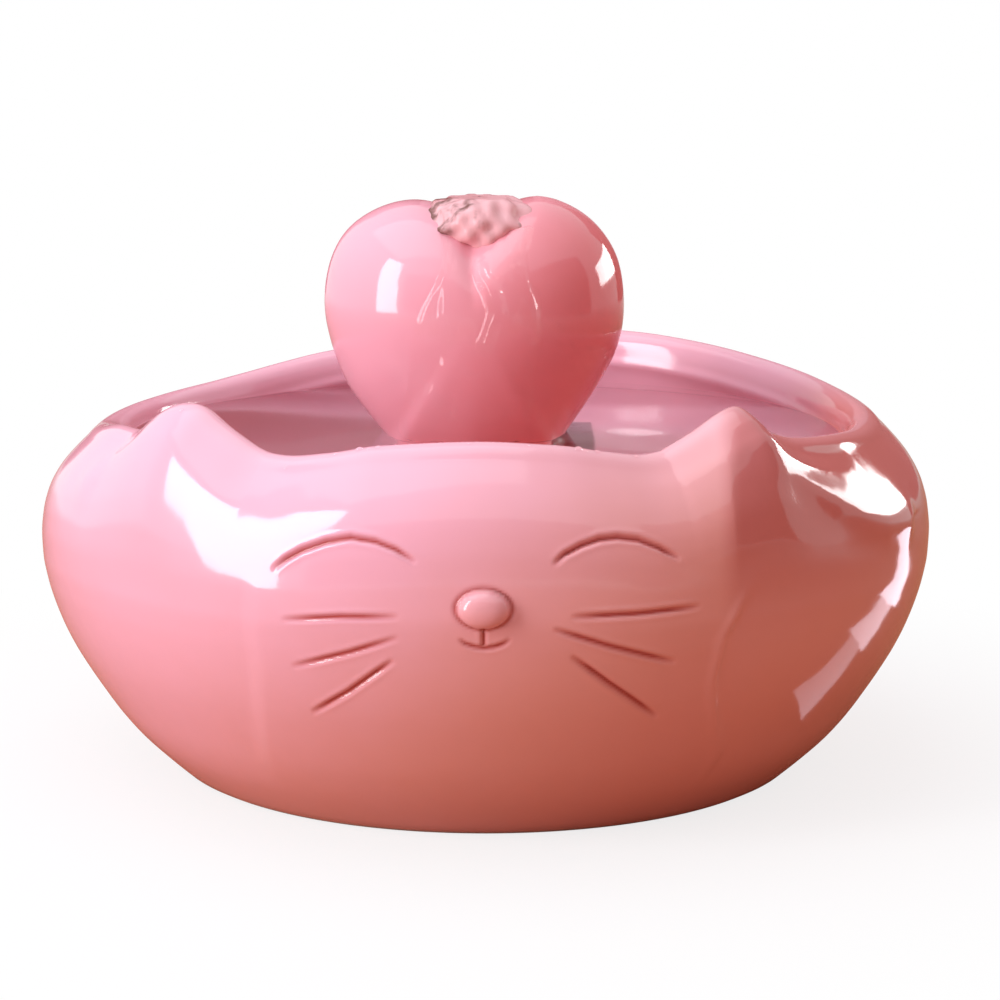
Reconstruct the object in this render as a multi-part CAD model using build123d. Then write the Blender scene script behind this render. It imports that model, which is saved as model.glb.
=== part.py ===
from build123d import *

import os
from math import sqrt

# Pet water fountain: a ceramic bowl shaped as a cat's head, a hollow ceramic heart that the
# water wells out of, and the small submersible pump that feeds it through a silicone hose.
# Millimetres, +Z up. The origin is the centre of the bowl's underside. The cat faces -Y.

# Bowl, turned about Z
FOOT_R = 83.0
BELLY_R = 118.7
BELLY_Z = 63.0
RIM_R = 104.0
RIM_Z = 96.5
FLOOR = 9.0  # thickness of the floor, and so the height that the pump and the heart stand at
BASIN_R = 73.0  # flat part of the floor
WALL = 7.0
FLANK_R = 103.5  # where the straight flank over the foot ends
FLANK_Z = 23.0
SHOULDER_R = 105.0  # inside, where the wall thickens into the lip
SHOULDER_Z = 79.0
LIP_R = 95.0  # where the lip reaches furthest in
LIP_Z = 88.5
LIP_ROUND = 3.5
LIP_LEAN = 0.6
EAR_TOP_R = 100.5
EAR_TOP_T = 3.0  # the wall's thickness up there

# Rim of the bowl, as seen from the front
SIDE_X = 98.0  # past this the rim is level
SIDE_LEFT_Z = 90.8
SIDE_RIGHT_Z = 94.0
BROW_X = -1.0
BROW_Z = 101.1  # the front rim between the ears
EAR_Z = 106.2
EAR_LEFT_X = -71.8
EAR_RIGHT_X = 60.0
EAR_LEFT_FLANKS = ((-80.0, 1.0), (-62.0, -0.58))  # place and slope where it has half its height
EAR_RIGHT_FLANKS = ((48.6, 0.5), (66.2, -1.0))
EAR_LEFT_BASES = ((-86.5, 96.3, 0.25), (-49.5, 95.8, -0.05))  # place, height and slope
EAR_RIGHT_BASES = ((37.0, 96.8, 0.0), (76.0, 96.6, -0.25))
BACK_Z = 103.6
BACK_RIM = (  # place, fall from the highest place, and slope
    (-80.0, 11.8, 0.05),
    (-59.0, 8.4, 0.19),
    (-26.0, 3.8, 0.12),
    (24.0, 0.0, 0.0),
    (56.0, 1.4, -0.09),
    (87.0, 6.1, -0.25),
)
CREST_SPARE = 6.0  # height that the turned wall has over the ears before the rim is cut

# Face, drawn on the front of the bowl
NOSE_Z = 65.0
NOSE_W = 14.0
NOSE_H = 11.0
NOSE_SINK = 1.7  # how far its middle lies inside the bowl's outer side
GROOVE_W = 1.6
GROOVE_D = 0.9
EYE_IN = (16.0, 75.5)
EYE_TOP = (31.2, 80.6)
EYE_OUT = (47.5, 73.4)
WHISKERS = (
    ((20.0, 62.7), (49.0, 61.7)),
    ((18.0, 58.6), (44.4, 49.7)),
    ((20.7, 52.6), (41.0, 35.5)),
)
MOUTH_HALF_W = 5.6
MOUTH_TOP_Z = 57.8
MOUTH_Z = 55.6

# Heart spout
HEART_X = -3.0
HEART_HALF_W = 39.9
HEART_HALF_D = 32.0
HEART_TOP_Z = 150.8
HEART_MID_Z = HEART_TOP_Z - 29.8  # height of its widest place
HEART_LOBE_X = 15.5
CLEFT_Z = HEART_TOP_Z - 6.3
HEART_TIP_Z = 70.0
HEART_WALL = 5.5
HEART_SLOPES = ((0.7, 0.7), (1, 0), (0, -1), (-0.6, -1), (-1, -0.3))  # cleft to tip
HEART_STEPS = (-0.985, -0.85, -0.55, 0, 0.55, 0.85, 0.985)  # sections, as shares of its half depth
COLUMN_R = 21.0
COLUMN_TOP_Z = 86.0
COLUMN_BORE_R = 12.5
COLUMN_FOOT_H = 12.0
COLUMN_CLEAR = 1.0  # between its foot and the pump
MOUTH_BOSS_R = 10.5
MOUTH_BOSS_H = 15.0
MOUTH_R = 9.0  # where the bore opens out at the cleft
MOUTH_D = 4.0

# Hose
HOSE_R = 5.5
HOSE_BORE_R = 4.0
HOSE_BEND_R = 14.0
HOSE_Z = 72.0  # height of its level run
HOSE_DROP = 3.5  # of its end below the cleft
HOSE_GAP = 0.4

# Pump, along X about its shaft
PUMP_W = 34.0
PUMP_H = 36.0
PUMP_INSET = 25.0  # from the end of the floor's flat part to the pump's middle
PUMP_ROUND = 4.0
SHELL = 2.0
BASE_SHELL = 4.0
CHAMBER_R = 11.2
CHAMBER_L = 10.0
CHAMBER_BACK = 1.5
COVER_R = 14.2
COVER_T = 2.5
INLET_R = 6.5
COVER_HUB_R = 3.2
SPOKE_W = 1.8
SPOKE_COUNT = 3
WELL_R = 7.2
WELL_L = 14.0
WELL_WALL = 1.2
RUNNING_FIT = 0.05  # radial
COVER_GAP = 0.1
BODY_GAP = 0.3  # between pieces that come apart

SHAFT_R = 1.0
BUSH_R = 2.0
BUSH_L = 2.2
REAR_BUSH_R = 3.0
REAR_BUSH_L = 1.6
BUSH_SEAT_WALL = 1.2
SHAFT_INSET = 0.2
MAGNET_R = 6.6
MAGNET_L = 10.8
IMPELLER_NECK_R = 4.0
IMPELLER_DISC_R = 6.2
IMPELLER_DISC_T = 1.2
IMPELLER_HUB_R = 3.2
BLADE_R = 10.2
BLADE_T = 1.2
BLADE_COUNT = 6
IMPELLER_GAP = 0.8

SEAL_R = 0.6
LEG_T = 4.0
LEG_W = 14.0
LEG_START = 1.0  # from the back of the chamber's wall
BOBBIN_WALL = 0.8
BOBBIN_FLANGE_T = 1.0
BOBBIN_FLANGE = 3.0
WINDING_INSET = 0.5
BOBBIN_CLEAR = 0.5
POTTING_COVER = 1.2

CAP_WALL = 1.8
CAP_LAP = 3.0
CAP_REACH = 11.0  # in front of the housing
CAP_SLOT_W = 2.4
CAP_SLOT_H = 24.0
CAP_SLOT_COUNT = 6
CAP_SLOT_PITCH = 4.6
SIDE_SLOT_L = 6.0
SIDE_SLOT_COUNT = 5
SIDE_SLOT_PITCH = 5.0

SLIDER_W = 8.0
SLIDER_H = 13.0
SLIDER_T = 1.4
SLIDER_TRAVEL = 8.0
SLIDER_GAP = 0.15
RAIL_W = 1.4
RAIL_LIP = 1.0
RAIL_CAP_T = 0.8
WINDOW_W = 4.6
WINDOW_H = 7.0
KNOB_H = 2.0
KNOB_OUT = 2.0

NOZZLE_BORE_R = 2.8
NOZZLE_DEPTH = 4.0
NOZZLE_FLANGE_R = 6.5
NOZZLE_FLANGE_T = 1.5
NOZZLE_H = 9.0

CUP_R = 6.5
CUP_H = 5.0
CUP_STEM_R = 2.0
CUP_STEM_H = 3.0
CUP_NECK_H = 1.6
CUP_EDGE = 0.8
CUP_SPAN_Y = 24.0
CUP_INSET = 6.5

GLAND_R = 4.0
GLAND_FLANGE_R = 5.4
GLAND_FLANGE_T = 1.5
GLAND_TIP_R = 3.0
GLAND_H = 6.0
GLAND_BORE_R = 1.8
GLAND_INSET = 6.0

# Places that follow from the sizes
PUMP_Y = BASIN_R - PUMP_INSET
COLUMN_FOOT_R = PUMP_Y - PUMP_W / 2 - COLUMN_CLEAR
HOSE_TOP_Z = CLEFT_Z - HOSE_DROP
FRONT = -CHAMBER_L / 2 - COVER_T  # the housing's front face, from the outlet's axis
CHAMBER_FRONT = -CHAMBER_L / 2
CHAMBER_END = CHAMBER_L / 2
CAVITY_X = CHAMBER_END + CHAMBER_BACK
WELL_OUT_R = WELL_R + WELL_WALL
WELL_END = CHAMBER_END + WELL_L
WELL_BACK = WELL_END + WELL_WALL
LEG_X = WELL_BACK + BOBBIN_CLEAR + BOBBIN_FLANGE + BOBBIN_WALL
BOBBIN_BACK = LEG_X + LEG_T + BOBBIN_WALL + BOBBIN_FLANGE
BACK = BOBBIN_BACK + POTTING_COVER
AXIS_Z = FLOOR + CUP_H + PUMP_H / 2
WALL_TOP_Z = EAR_Z + CREST_SPARE
RIM_OVER = BELLY_R + WALL


def span_box(x, y, z):
    """Box between two values along each axis."""
    size = [high - low for low, high in (x, y, z)]
    middle = [(high + low) / 2 for low, high in (x, y, z)]
    return Pos(*middle) * Box(*size)


def x_rod(radius, start, end):
    """Cylinder along X."""
    return Pos((start + end) / 2, 0, 0) * Rot(0, 90, 0) * Cylinder(radius, end - start)


def z_rod(radius, start, end):
    """Cylinder along Z."""
    return Pos(0, 0, (start + end) / 2) * Cylinder(radius, end - start)


def outer_side(inset=0.0):
    """The bowl's outer side, from the foot to above the ears, and its two ends."""
    foot = (FOOT_R - inset, 0)
    flank = (FLANK_R - inset, FLANK_Z)
    belly = (BELLY_R - inset, BELLY_Z)
    rim = (RIM_R - inset, RIM_Z)
    top = (EAR_TOP_R - inset, WALL_TOP_Z)
    curves = [
        Line(foot, flank),
        TangentArc(belly, flank, tangent=(0, -1)),
        TangentArc(belly, rim, tangent=(0, 1)),
        Line(rim, top),
    ]
    return curves, foot, top


def inner_side():
    """The bowl's inner side, from the floor, under the lip and up, and its two ends."""
    basin = (BASIN_R, FLOOR)
    flank = (FLANK_R - WALL, FLANK_Z)
    belly = (BELLY_R - WALL, BELLY_Z)
    shoulder = (SHOULDER_R, SHOULDER_Z)
    under = (LIP_R + LIP_ROUND, LIP_Z - LIP_ROUND)
    over = (LIP_R + LIP_LEAN, LIP_Z + LIP_ROUND)
    top = (EAR_TOP_R - EAR_TOP_T, WALL_TOP_Z)
    curves = [
        Line(basin, flank),
        TangentArc(belly, flank, tangent=(0, -1)),
        TangentArc(belly, shoulder, tangent=(0, 1)),
        Line(shoulder, under),
        ThreePointArc(under, (LIP_R, LIP_Z), over),
        Line(over, top),
    ]
    return curves, basin, top


def turned(curves):
    """Turn a closed outline of curves in XZ about Z, the way its face looks."""
    return revolve(Plane.XZ * make_face(curves), Axis((0, 0, 0), (0, 0, -1)))


def turned_shell():
    """Bowl before its rim is cut."""
    outer, foot, outer_top = outer_side()
    inner, basin, inner_top = inner_side()
    rest = Polyline(basin, (0, FLOOR), (0, 0), foot)
    return turned([*outer, Line(outer_top, inner_top), *inner, rest])


def above(curve, y):
    """Everything above a rim curve in XZ, over a span of Y."""
    ends = (-RIM_OVER, RIM_OVER)
    heights = (SIDE_LEFT_Z, SIDE_RIGHT_Z)
    top = 2 * WALL_TOP_Z
    left = Line((ends[0], heights[0]), curve @ 0)
    right = Line(curve @ 1, (ends[1], heights[1]))
    rest = Polyline((ends[1], heights[1]), (ends[1], top), (ends[0], top), (ends[0], heights[0]))
    face = Plane.XZ * make_face([left, curve, right, rest])
    return Pos(0, y[1], 0) * extrude(face, amount=y[1] - y[0])


def rim_curve(stations):
    """Rim through stations of place, height and slope, level at both ends."""
    ends = ((-SIDE_X, SIDE_LEFT_Z, 0), (SIDE_X, SIDE_RIGHT_Z, 0))
    stations = [ends[0], *stations, ends[1]]
    points = [(x, z) for x, z, _ in stations]
    return Spline(*points, tangents=[(1, slope) for *_, slope in stations])


def ear(tip, flanks, bases):
    """An ear's stations, from its left base over its tip to its right base."""
    halves = [(x, (base[1] + EAR_Z) / 2, slope) for (x, slope), base in zip(flanks, bases)]
    return [bases[0], halves[0], (tip, EAR_Z, 0), halves[1], bases[1]]


def front_rim():
    """The front rim with its two ears, the left one rounder."""
    left = ear(EAR_LEFT_X, EAR_LEFT_FLANKS, EAR_LEFT_BASES)
    right = ear(EAR_RIGHT_X, EAR_RIGHT_FLANKS, EAR_RIGHT_BASES)
    return rim_curve([*left, (BROW_X, BROW_Z, 0), *right])


def back_rim():
    """The back rim, higher than the sides."""
    return rim_curve([(x, BACK_Z - fall, slope) for x, fall, slope in BACK_RIM])


def groove(path):
    """A stroke of the face, cut along Y through everything in front of the bowl's middle."""
    return extrude(Plane.XZ * trace(path, GROOVE_W), amount=BELLY_R + WALL)


def face_strokes():
    """Closed eyes, whiskers and mouth, as lines in XZ."""
    strokes = []
    for side in (-1, 1):
        eye = [(side * x, z) for x, z in (EYE_IN, EYE_TOP, EYE_OUT)]
        strokes.append(ThreePointArc(*eye))
        for start, end in WHISKERS:
            strokes.append(Line((side * start[0], start[1]), (side * end[0], end[1])))
    corners = [(-MOUTH_HALF_W, MOUTH_TOP_Z), (0, MOUTH_Z), (MOUTH_HALF_W, MOUTH_TOP_Z)]
    strokes.append(ThreePointArc(*corners))
    strokes.append(Line((0, NOSE_Z), (0, MOUTH_Z)))
    return strokes


def inner_body():
    """The solid that lies one groove's depth inside the bowl's outer side."""
    outer, foot, top = outer_side(GROOVE_D)
    return turned([*outer, Polyline(top, (0, WALL_TOP_Z), (0, 0), foot)])


def nose():
    """Rounded bead on the front of the bowl."""
    half = Ellipse(NOSE_W / 2, NOSE_H / 2) & Pos(0, NOSE_H / 2) * Rectangle(NOSE_W, NOSE_H)
    bead = revolve(half, Axis.X)
    return Pos(0, NOSE_SINK - BELLY_R, NOSE_Z) * bead


def bowl():
    """Ceramic bowl shaped as a cat's head."""
    core = inner_body()
    cuts = [above(front_rim(), (-RIM_OVER, 0)), above(back_rim(), (0, RIM_OVER))]
    cuts += [groove(path) - core for path in face_strokes()]
    return turned_shell() - cuts + (nose() - core)


def heart_outline(scale, y):
    """Heart in the XZ plane about its widest place, scaled, at a place along Y."""
    points = [
        (0, CLEFT_Z),
        (HEART_LOBE_X, HEART_TOP_Z),
        (HEART_HALF_W, HEART_MID_Z),
        (COLUMN_R, COLUMN_TOP_Z),
        (0, HEART_TIP_Z),
    ]
    points = [(x * scale, (z - HEART_MID_Z) * scale) for x, z in points]
    half = Spline(*points, tangents=HEART_SLOPES)
    outline = make_face([half, mirror(half, Plane.YZ)])
    return Plane(origin=(HEART_X, y, HEART_MID_Z), x_dir=(1, 0, 0), z_dir=(0, -1, 0)) * outline


def heart_body(half_w, half_d):
    """Puffed heart, round from front to back."""
    shrink = half_w / HEART_HALF_W
    faces = [heart_outline(shrink * sqrt(1 - step**2), half_d * step) for step in HEART_STEPS]
    return loft(faces)


def heart_spout():
    """Hollow ceramic heart on a column that stands on the bowl's floor."""
    outside = heart_body(HEART_HALF_W, HEART_HALF_D)
    hollow = heart_body(HEART_HALF_W - HEART_WALL, HEART_HALF_D - HEART_WALL)
    at = Pos(HEART_X, 0, 0)
    column = at * z_rod(COLUMN_R, FLOOR, COLUMN_TOP_Z)
    foot = Cone(COLUMN_FOOT_R, COLUMN_R, COLUMN_FOOT_H)
    column += Pos(HEART_X, 0, FLOOR + COLUMN_FOOT_H / 2) * foot
    boss = at * z_rod(MOUTH_BOSS_R, CLEFT_Z - MOUTH_BOSS_H, CLEFT_Z)
    bore_r = HOSE_R + HOSE_GAP
    bore = at * z_rod(bore_r, CLEFT_Z - MOUTH_BOSS_H, HEART_TOP_Z)
    mouth = Pos(HEART_X, 0, CLEFT_Z - MOUTH_D / 2) * Cone(bore_r, MOUTH_R, MOUTH_D)
    body = outside + column - hollow - at * z_rod(COLUMN_BORE_R, FLOOR, COLUMN_TOP_Z)
    body = body + (boss & outside) - bore - mouth
    notch_top = HOSE_Z + HOSE_R + 2 * HOSE_GAP
    notch_half = HOSE_R + 2 * HOSE_GAP
    sides = (HEART_X - notch_half, HEART_X + notch_half)
    body -= span_box(sides, (0, COLUMN_FOOT_R), (FLOOR, notch_top))
    return body


def hose_path():
    """Middle line of the hose, from the pump's nozzle over into the heart and up."""
    start = AXIS_Z + PUMP_H / 2 + NOZZLE_FLANGE_T
    return FilletPolyline(
        (HEART_X, PUMP_Y, start),
        (HEART_X, PUMP_Y, HOSE_Z),
        (HEART_X, 0, HOSE_Z),
        (HEART_X, 0, HOSE_TOP_Z),
        radius=HOSE_BEND_R,
    )


def riser_tube():
    """Silicone hose."""
    path = hose_path()
    section = Circle(HOSE_R) - Circle(HOSE_BORE_R)
    return sweep(Plane(origin=path @ 0, z_dir=path % 0) * section, path=path)


def pump_block(x, shrink=0.0, rounding=PUMP_ROUND):
    """Block with the pump's rounded section, smaller all round by shrink."""
    section = RectangleRounded(PUMP_W - 2 * shrink, PUMP_H - 2 * shrink, rounding - shrink)
    plane = Plane(origin=(x[0], 0, 0), x_dir=(0, 1, 0), z_dir=(1, 0, 0))
    return extrude(plane * section, amount=x[1] - x[0])


def cavity():
    """Space behind the impeller chamber that the coil and the resin fill."""
    half_w = PUMP_W / 2 - SHELL
    return span_box((CAVITY_X, BACK), (-half_w, half_w), (BASE_SHELL - PUMP_H / 2, PUMP_H / 2 - SHELL))


def cup_places():
    """Middles of the four suction cups at the pump's underside."""
    rows = (CHAMBER_FRONT + CUP_INSET, BACK - CUP_INSET)
    return [(x, y) for x in rows for y in (-CUP_SPAN_Y / 2, CUP_SPAN_Y / 2)]


def pump_housing():
    """Moulded body with the impeller chamber, the rotor's well and a pocket for the coil."""
    step = FRONT + CAP_LAP
    lap = CAP_WALL + RUNNING_FIT
    body = pump_block((step, BACK)) + pump_block((FRONT, step), lap)
    body -= x_rod(COVER_R, FRONT, CHAMBER_FRONT)
    body -= x_rod(CHAMBER_R, CHAMBER_FRONT, CHAMBER_END)
    body -= cavity()
    body += x_rod(WELL_OUT_R, CHAMBER_END, WELL_BACK)
    body -= x_rod(WELL_R, CHAMBER_END, WELL_END)
    seat = WELL_END - REAR_BUSH_L
    body += x_rod(REAR_BUSH_R + BUSH_SEAT_WALL, seat, WELL_END) - x_rod(REAR_BUSH_R, seat, WELL_END)
    body -= seal_groove()
    top = PUMP_H / 2
    body -= z_rod(HOSE_BORE_R, top - NOZZLE_DEPTH, top) + z_rod(NOZZLE_BORE_R, 0, top)
    body -= Pos(BACK - GLAND_INSET, 0, 0) * z_rod(GLAND_R, top - SHELL, top)
    for x, y in cup_places():
        body -= Pos(x, y, 0) * z_rod(CUP_STEM_R, -top, CUP_STEM_H - top)
    return body


def seal_groove():
    """Groove for the O-ring in the floor of the cover's recess."""
    middle = (CHAMBER_R + COVER_R) / 2
    depth = CHAMBER_FRONT + 2 * SEAL_R
    return x_rod(middle + SEAL_R, CHAMBER_FRONT, depth) - x_rod(middle - SEAL_R, CHAMBER_FRONT, depth)


def chamber_seal():
    """O-ring between the housing and the chamber's cover."""
    ring = Torus((CHAMBER_R + COVER_R) / 2, SEAL_R)
    return Pos(CHAMBER_FRONT + SEAL_R, 0, 0) * Rot(0, 90, 0) * ring


def chamber_cover():
    """Plate in front of the impeller, with three spokes that hold the front bush."""
    plate = x_rod(COVER_R - COVER_GAP, FRONT, CHAMBER_FRONT)
    inlet = x_rod(INLET_R, FRONT, CHAMBER_FRONT) - x_rod(COVER_HUB_R, FRONT, CHAMBER_FRONT)
    spoke = span_box((FRONT, CHAMBER_FRONT), (-SPOKE_W / 2, SPOKE_W / 2), (0, INLET_R + SPOKE_W))
    for turn in range(SPOKE_COUNT):
        inlet -= Rot(turn * 360 / SPOKE_COUNT, 0, 0) * spoke
    return plate - inlet - x_rod(BUSH_R, CHAMBER_FRONT - BUSH_L, CHAMBER_FRONT)


def front_bush():
    """Rubber bush in the chamber's cover."""
    start = CHAMBER_FRONT - BUSH_L
    return x_rod(BUSH_R, start, CHAMBER_FRONT) - x_rod(SHAFT_R, start + SHAFT_INSET, CHAMBER_FRONT)


def rear_bush():
    """Rubber bush at the end of the rotor's well."""
    start = WELL_END - REAR_BUSH_L
    return x_rod(REAR_BUSH_R, start, WELL_END) - x_rod(SHAFT_R, start, WELL_END - SHAFT_INSET)


def rotor_shaft():
    """Still shaft that the rotor turns on."""
    return x_rod(SHAFT_R, CHAMBER_FRONT - BUSH_L + SHAFT_INSET, WELL_END - SHAFT_INSET)


def magnet_span():
    """Start and end of the magnet along the shaft."""
    end = WELL_END - REAR_BUSH_L - BODY_GAP
    return end - MAGNET_L, end


def rotor_magnet():
    """Cylindrical magnet in the well."""
    start, end = magnet_span()
    return x_rod(MAGNET_R, start, end) - x_rod(SHAFT_R + RUNNING_FIT, start, end)


def impeller():
    """Open impeller with straight blades, joined to the magnet by its neck."""
    start = CHAMBER_FRONT + IMPELLER_GAP
    end = magnet_span()[0]
    disc_end = CHAMBER_END - IMPELLER_GAP / 2
    disc = disc_end - IMPELLER_DISC_T
    body = x_rod(IMPELLER_HUB_R, start, disc_end) + x_rod(IMPELLER_DISC_R, disc, disc_end)
    body += x_rod(IMPELLER_NECK_R, disc, end)
    blade = span_box((start, disc_end), (-BLADE_T / 2, BLADE_T / 2), (0, BLADE_R))
    for turn in range(BLADE_COUNT):
        body += Rot(turn * 360 / BLADE_COUNT, 0, 0) * blade
    return body - x_rod(SHAFT_R + RUNNING_FIT, start, end)


def stator_core():
    """Laminated U with one leg over and one under the rotor's well."""
    inside = WELL_OUT_R
    outside = WELL_OUT_R + LEG_T
    half = LEG_W / 2
    body = span_box((LEG_X, LEG_X + LEG_T), (-half, half), (-outside, outside))
    for side in (-1, 1):
        heights = sorted((side * inside, side * outside))
        body += span_box((CAVITY_X + LEG_START, LEG_X), (-half, half), heights)
    return body


def around_leg(extra):
    """Upright block round the stator's back leg, wider all round by extra."""
    half = LEG_W / 2 + extra
    return (LEG_X - extra, LEG_X + LEG_T + extra), (-half, half)


def coil_bobbin():
    """Moulded bobbin on the stator's back leg."""
    height = (-WELL_OUT_R, WELL_OUT_R)
    body = span_box(*around_leg(BOBBIN_WALL), height)
    for side in (-1, 1):
        ends = sorted((side * WELL_OUT_R, side * (WELL_OUT_R - BOBBIN_FLANGE_T)))
        body += span_box(*around_leg(BOBBIN_WALL + BOBBIN_FLANGE), ends)
    return body - span_box(*around_leg(0), height)


def coil_winding():
    """Copper winding between the bobbin's flanges."""
    top = WELL_OUT_R - BOBBIN_FLANGE_T
    outside = span_box(*around_leg(BOBBIN_WALL + BOBBIN_FLANGE - WINDING_INSET), (-top, top))
    outside = fillet(outside.edges().filter_by(Axis.Z), BOBBIN_FLANGE - WINDING_INSET)
    return outside - span_box(*around_leg(BOBBIN_WALL), (-top, top))


def potting_resin():
    """Resin that fills the pocket round the coil, flush with the housing's back."""
    held = [x_rod(WELL_OUT_R, CAVITY_X, WELL_BACK), stator_core(), coil_bobbin(), coil_winding()]
    return cavity() - held


def cap_front():
    """Outer front face of the intake cover."""
    return FRONT - CAP_REACH


def rails():
    """Two rails on the intake cover that the flow slider runs in."""
    face = cap_front()
    inner = SLIDER_W / 2 + SLIDER_GAP
    under = face - SLIDER_T - SLIDER_GAP
    reach = SLIDER_H / 2 + SLIDER_TRAVEL / 2
    pair = Part()
    for side in (-1, 1):
        web = sorted((side * inner, side * (inner + RAIL_W)))
        lip = sorted((side * (inner - RAIL_LIP), side * (inner + RAIL_W)))
        pair += span_box((under, face), web, (-reach, reach))
        pair += span_box((under - RAIL_CAP_T, under), lip, (-reach, reach))
    return pair


def intake_cover():
    """Slotted cap over the pump's front, with a window that the slider closes."""
    face = cap_front()
    body = pump_block((face, FRONT + CAP_LAP)) - pump_block((face + CAP_WALL, FRONT + CAP_LAP), CAP_WALL)
    front = (face, face + CAP_WALL)
    for place in range(CAP_SLOT_COUNT):
        y = (place - (CAP_SLOT_COUNT - 1) / 2) * CAP_SLOT_PITCH
        if abs(y) > SLIDER_W / 2 + RAIL_W:
            width = (y - CAP_SLOT_W / 2, y + CAP_SLOT_W / 2)
            body -= span_box(front, width, (-CAP_SLOT_H / 2, CAP_SLOT_H / 2))
    body -= span_box(front, (-WINDOW_W / 2, WINDOW_W / 2), (0, WINDOW_H))
    middle = (face + CAP_WALL + FRONT) / 2
    along = (middle - SIDE_SLOT_L / 2, middle + SIDE_SLOT_L / 2)
    for place in range(SIDE_SLOT_COUNT):
        z = (place - (SIDE_SLOT_COUNT - 1) / 2) * SIDE_SLOT_PITCH
        height = (z - CAP_SLOT_W / 2, z + CAP_SLOT_W / 2)
        body -= span_box(along, (-PUMP_W / 2, PUMP_W / 2), height)
    return body + rails()


def intake_foam():
    """Foam block in the intake cover."""
    shrink = CAP_WALL + BODY_GAP
    return pump_block((cap_front() + CAP_WALL, FRONT - BODY_GAP), shrink)


def flow_slider():
    """Plate with a thumb rib that covers more or less of the window."""
    face = cap_front()
    back = face - SLIDER_GAP / 2
    front = back - SLIDER_T
    half_h = SLIDER_H / 2
    rest = SLIDER_TRAVEL / 2
    body = span_box((front, back), (-SLIDER_W / 2, SLIDER_W / 2), (-half_h, half_h))
    rib_half = SLIDER_W / 2 - RAIL_LIP - SLIDER_GAP
    body += span_box((front - KNOB_OUT, front), (-rib_half, rib_half), (-KNOB_H / 2, KNOB_H / 2))
    return Pos(0, 0, -rest) * body


def outlet_nozzle():
    """Stub on top of the pump that the hose pushes over."""
    top = PUMP_H / 2
    flange = top + NOZZLE_FLANGE_T
    body = z_rod(HOSE_BORE_R, top - NOZZLE_DEPTH, flange + NOZZLE_H)
    body += z_rod(NOZZLE_FLANGE_R, top, flange)
    return body - z_rod(NOZZLE_BORE_R, top - NOZZLE_DEPTH, flange + NOZZLE_H)


def cable_gland():
    """Rubber sleeve where the cord leaves the housing."""
    top = PUMP_H / 2
    flange = top + GLAND_FLANGE_T
    body = z_rod(GLAND_R, top - SHELL, top) + z_rod(GLAND_FLANGE_R, top, flange)
    body += Pos(0, 0, flange + GLAND_H / 2) * Cone(GLAND_R, GLAND_TIP_R, GLAND_H)
    body -= z_rod(GLAND_BORE_R, top - SHELL, flange + GLAND_H)
    return Pos(BACK - GLAND_INSET, 0, 0) * body


def suction_cup():
    """Rubber cup with a stem, its top face at z = 0."""
    neck = -CUP_NECK_H
    outline = Polyline(
        (0, CUP_STEM_H),
        (CUP_STEM_R, CUP_STEM_H),
        (CUP_STEM_R, 0),
        (CUP_R / 2, 0),
        (CUP_R / 2, neck),
        (CUP_R, CUP_EDGE - CUP_H),
        (CUP_R, -CUP_H),
        (CUP_R - CUP_EDGE, -CUP_H),
        (0, neck - CUP_EDGE),
        close=True,
    )
    return turned(outline)


def save(name, shape):
    """Write one node."""
    shape.label = name
    export_step(shape, f"parts/{name}.step")


def main():
    """Build and write every node."""
    os.makedirs("parts", exist_ok=True)
    for make in (bowl, heart_spout, riser_tube):
        save(make.__name__, make())
    pump = Pos(HEART_X, PUMP_Y, AXIS_Z)
    pieces = (
        pump_housing,
        chamber_seal,
        chamber_cover,
        front_bush,
        rear_bush,
        rotor_shaft,
        rotor_magnet,
        impeller,
        stator_core,
        coil_bobbin,
        coil_winding,
        potting_resin,
        intake_cover,
        intake_foam,
        flow_slider,
        outlet_nozzle,
        cable_gland,
    )
    for make in pieces:
        save(make.__name__, pump * make())
    for number, (x, y) in enumerate(cup_places(), 1):
        save(f"suction_cup_{number}", pump * Pos(x, y, -PUMP_H / 2) * suction_cup())


if __name__ == "__main__":
    main()
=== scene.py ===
"""Cat-face water fountain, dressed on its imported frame. Metres, +Z up, the face looks along -Y."""

import logging
import math
from collections.abc import Iterable, Mapping, Sequence
from dataclasses import dataclass, field
from enum import Enum

import bmesh
import bpy
import numpy as np
from mathutils import Matrix, Vector
from mathutils.bvhtree import BVHTree


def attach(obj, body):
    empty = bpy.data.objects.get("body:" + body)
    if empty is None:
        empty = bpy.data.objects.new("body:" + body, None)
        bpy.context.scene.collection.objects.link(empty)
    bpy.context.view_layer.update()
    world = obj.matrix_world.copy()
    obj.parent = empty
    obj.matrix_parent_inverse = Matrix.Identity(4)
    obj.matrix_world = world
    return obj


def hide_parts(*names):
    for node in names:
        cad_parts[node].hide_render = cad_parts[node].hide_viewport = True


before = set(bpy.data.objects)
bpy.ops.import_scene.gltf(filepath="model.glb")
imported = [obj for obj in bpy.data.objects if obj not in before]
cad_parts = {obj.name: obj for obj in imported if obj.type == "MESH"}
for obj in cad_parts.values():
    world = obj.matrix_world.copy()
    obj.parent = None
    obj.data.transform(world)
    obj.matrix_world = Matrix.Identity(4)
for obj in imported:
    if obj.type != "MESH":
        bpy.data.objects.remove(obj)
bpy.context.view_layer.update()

LOG = logging.getLogger("fountain")
MM = 0.001

Colour = tuple[float, float, float]
Place = tuple[float, float, float]
Span = tuple[float, float]
Points = Sequence[tuple[float, float]]

BACKWARD, DOWN = Vector((0, 1, 0)), Vector((0, 0, -1))
WAVE_RADIANS = 20  # that a wave texture turns through in one unit at scale 1


class Body(Enum):
    """Bodies of the frame that the pieces ride on."""

    BASE = "base"
    HEART = "heart"


# ---------------------------------------------------------------- shader graphs


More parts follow.
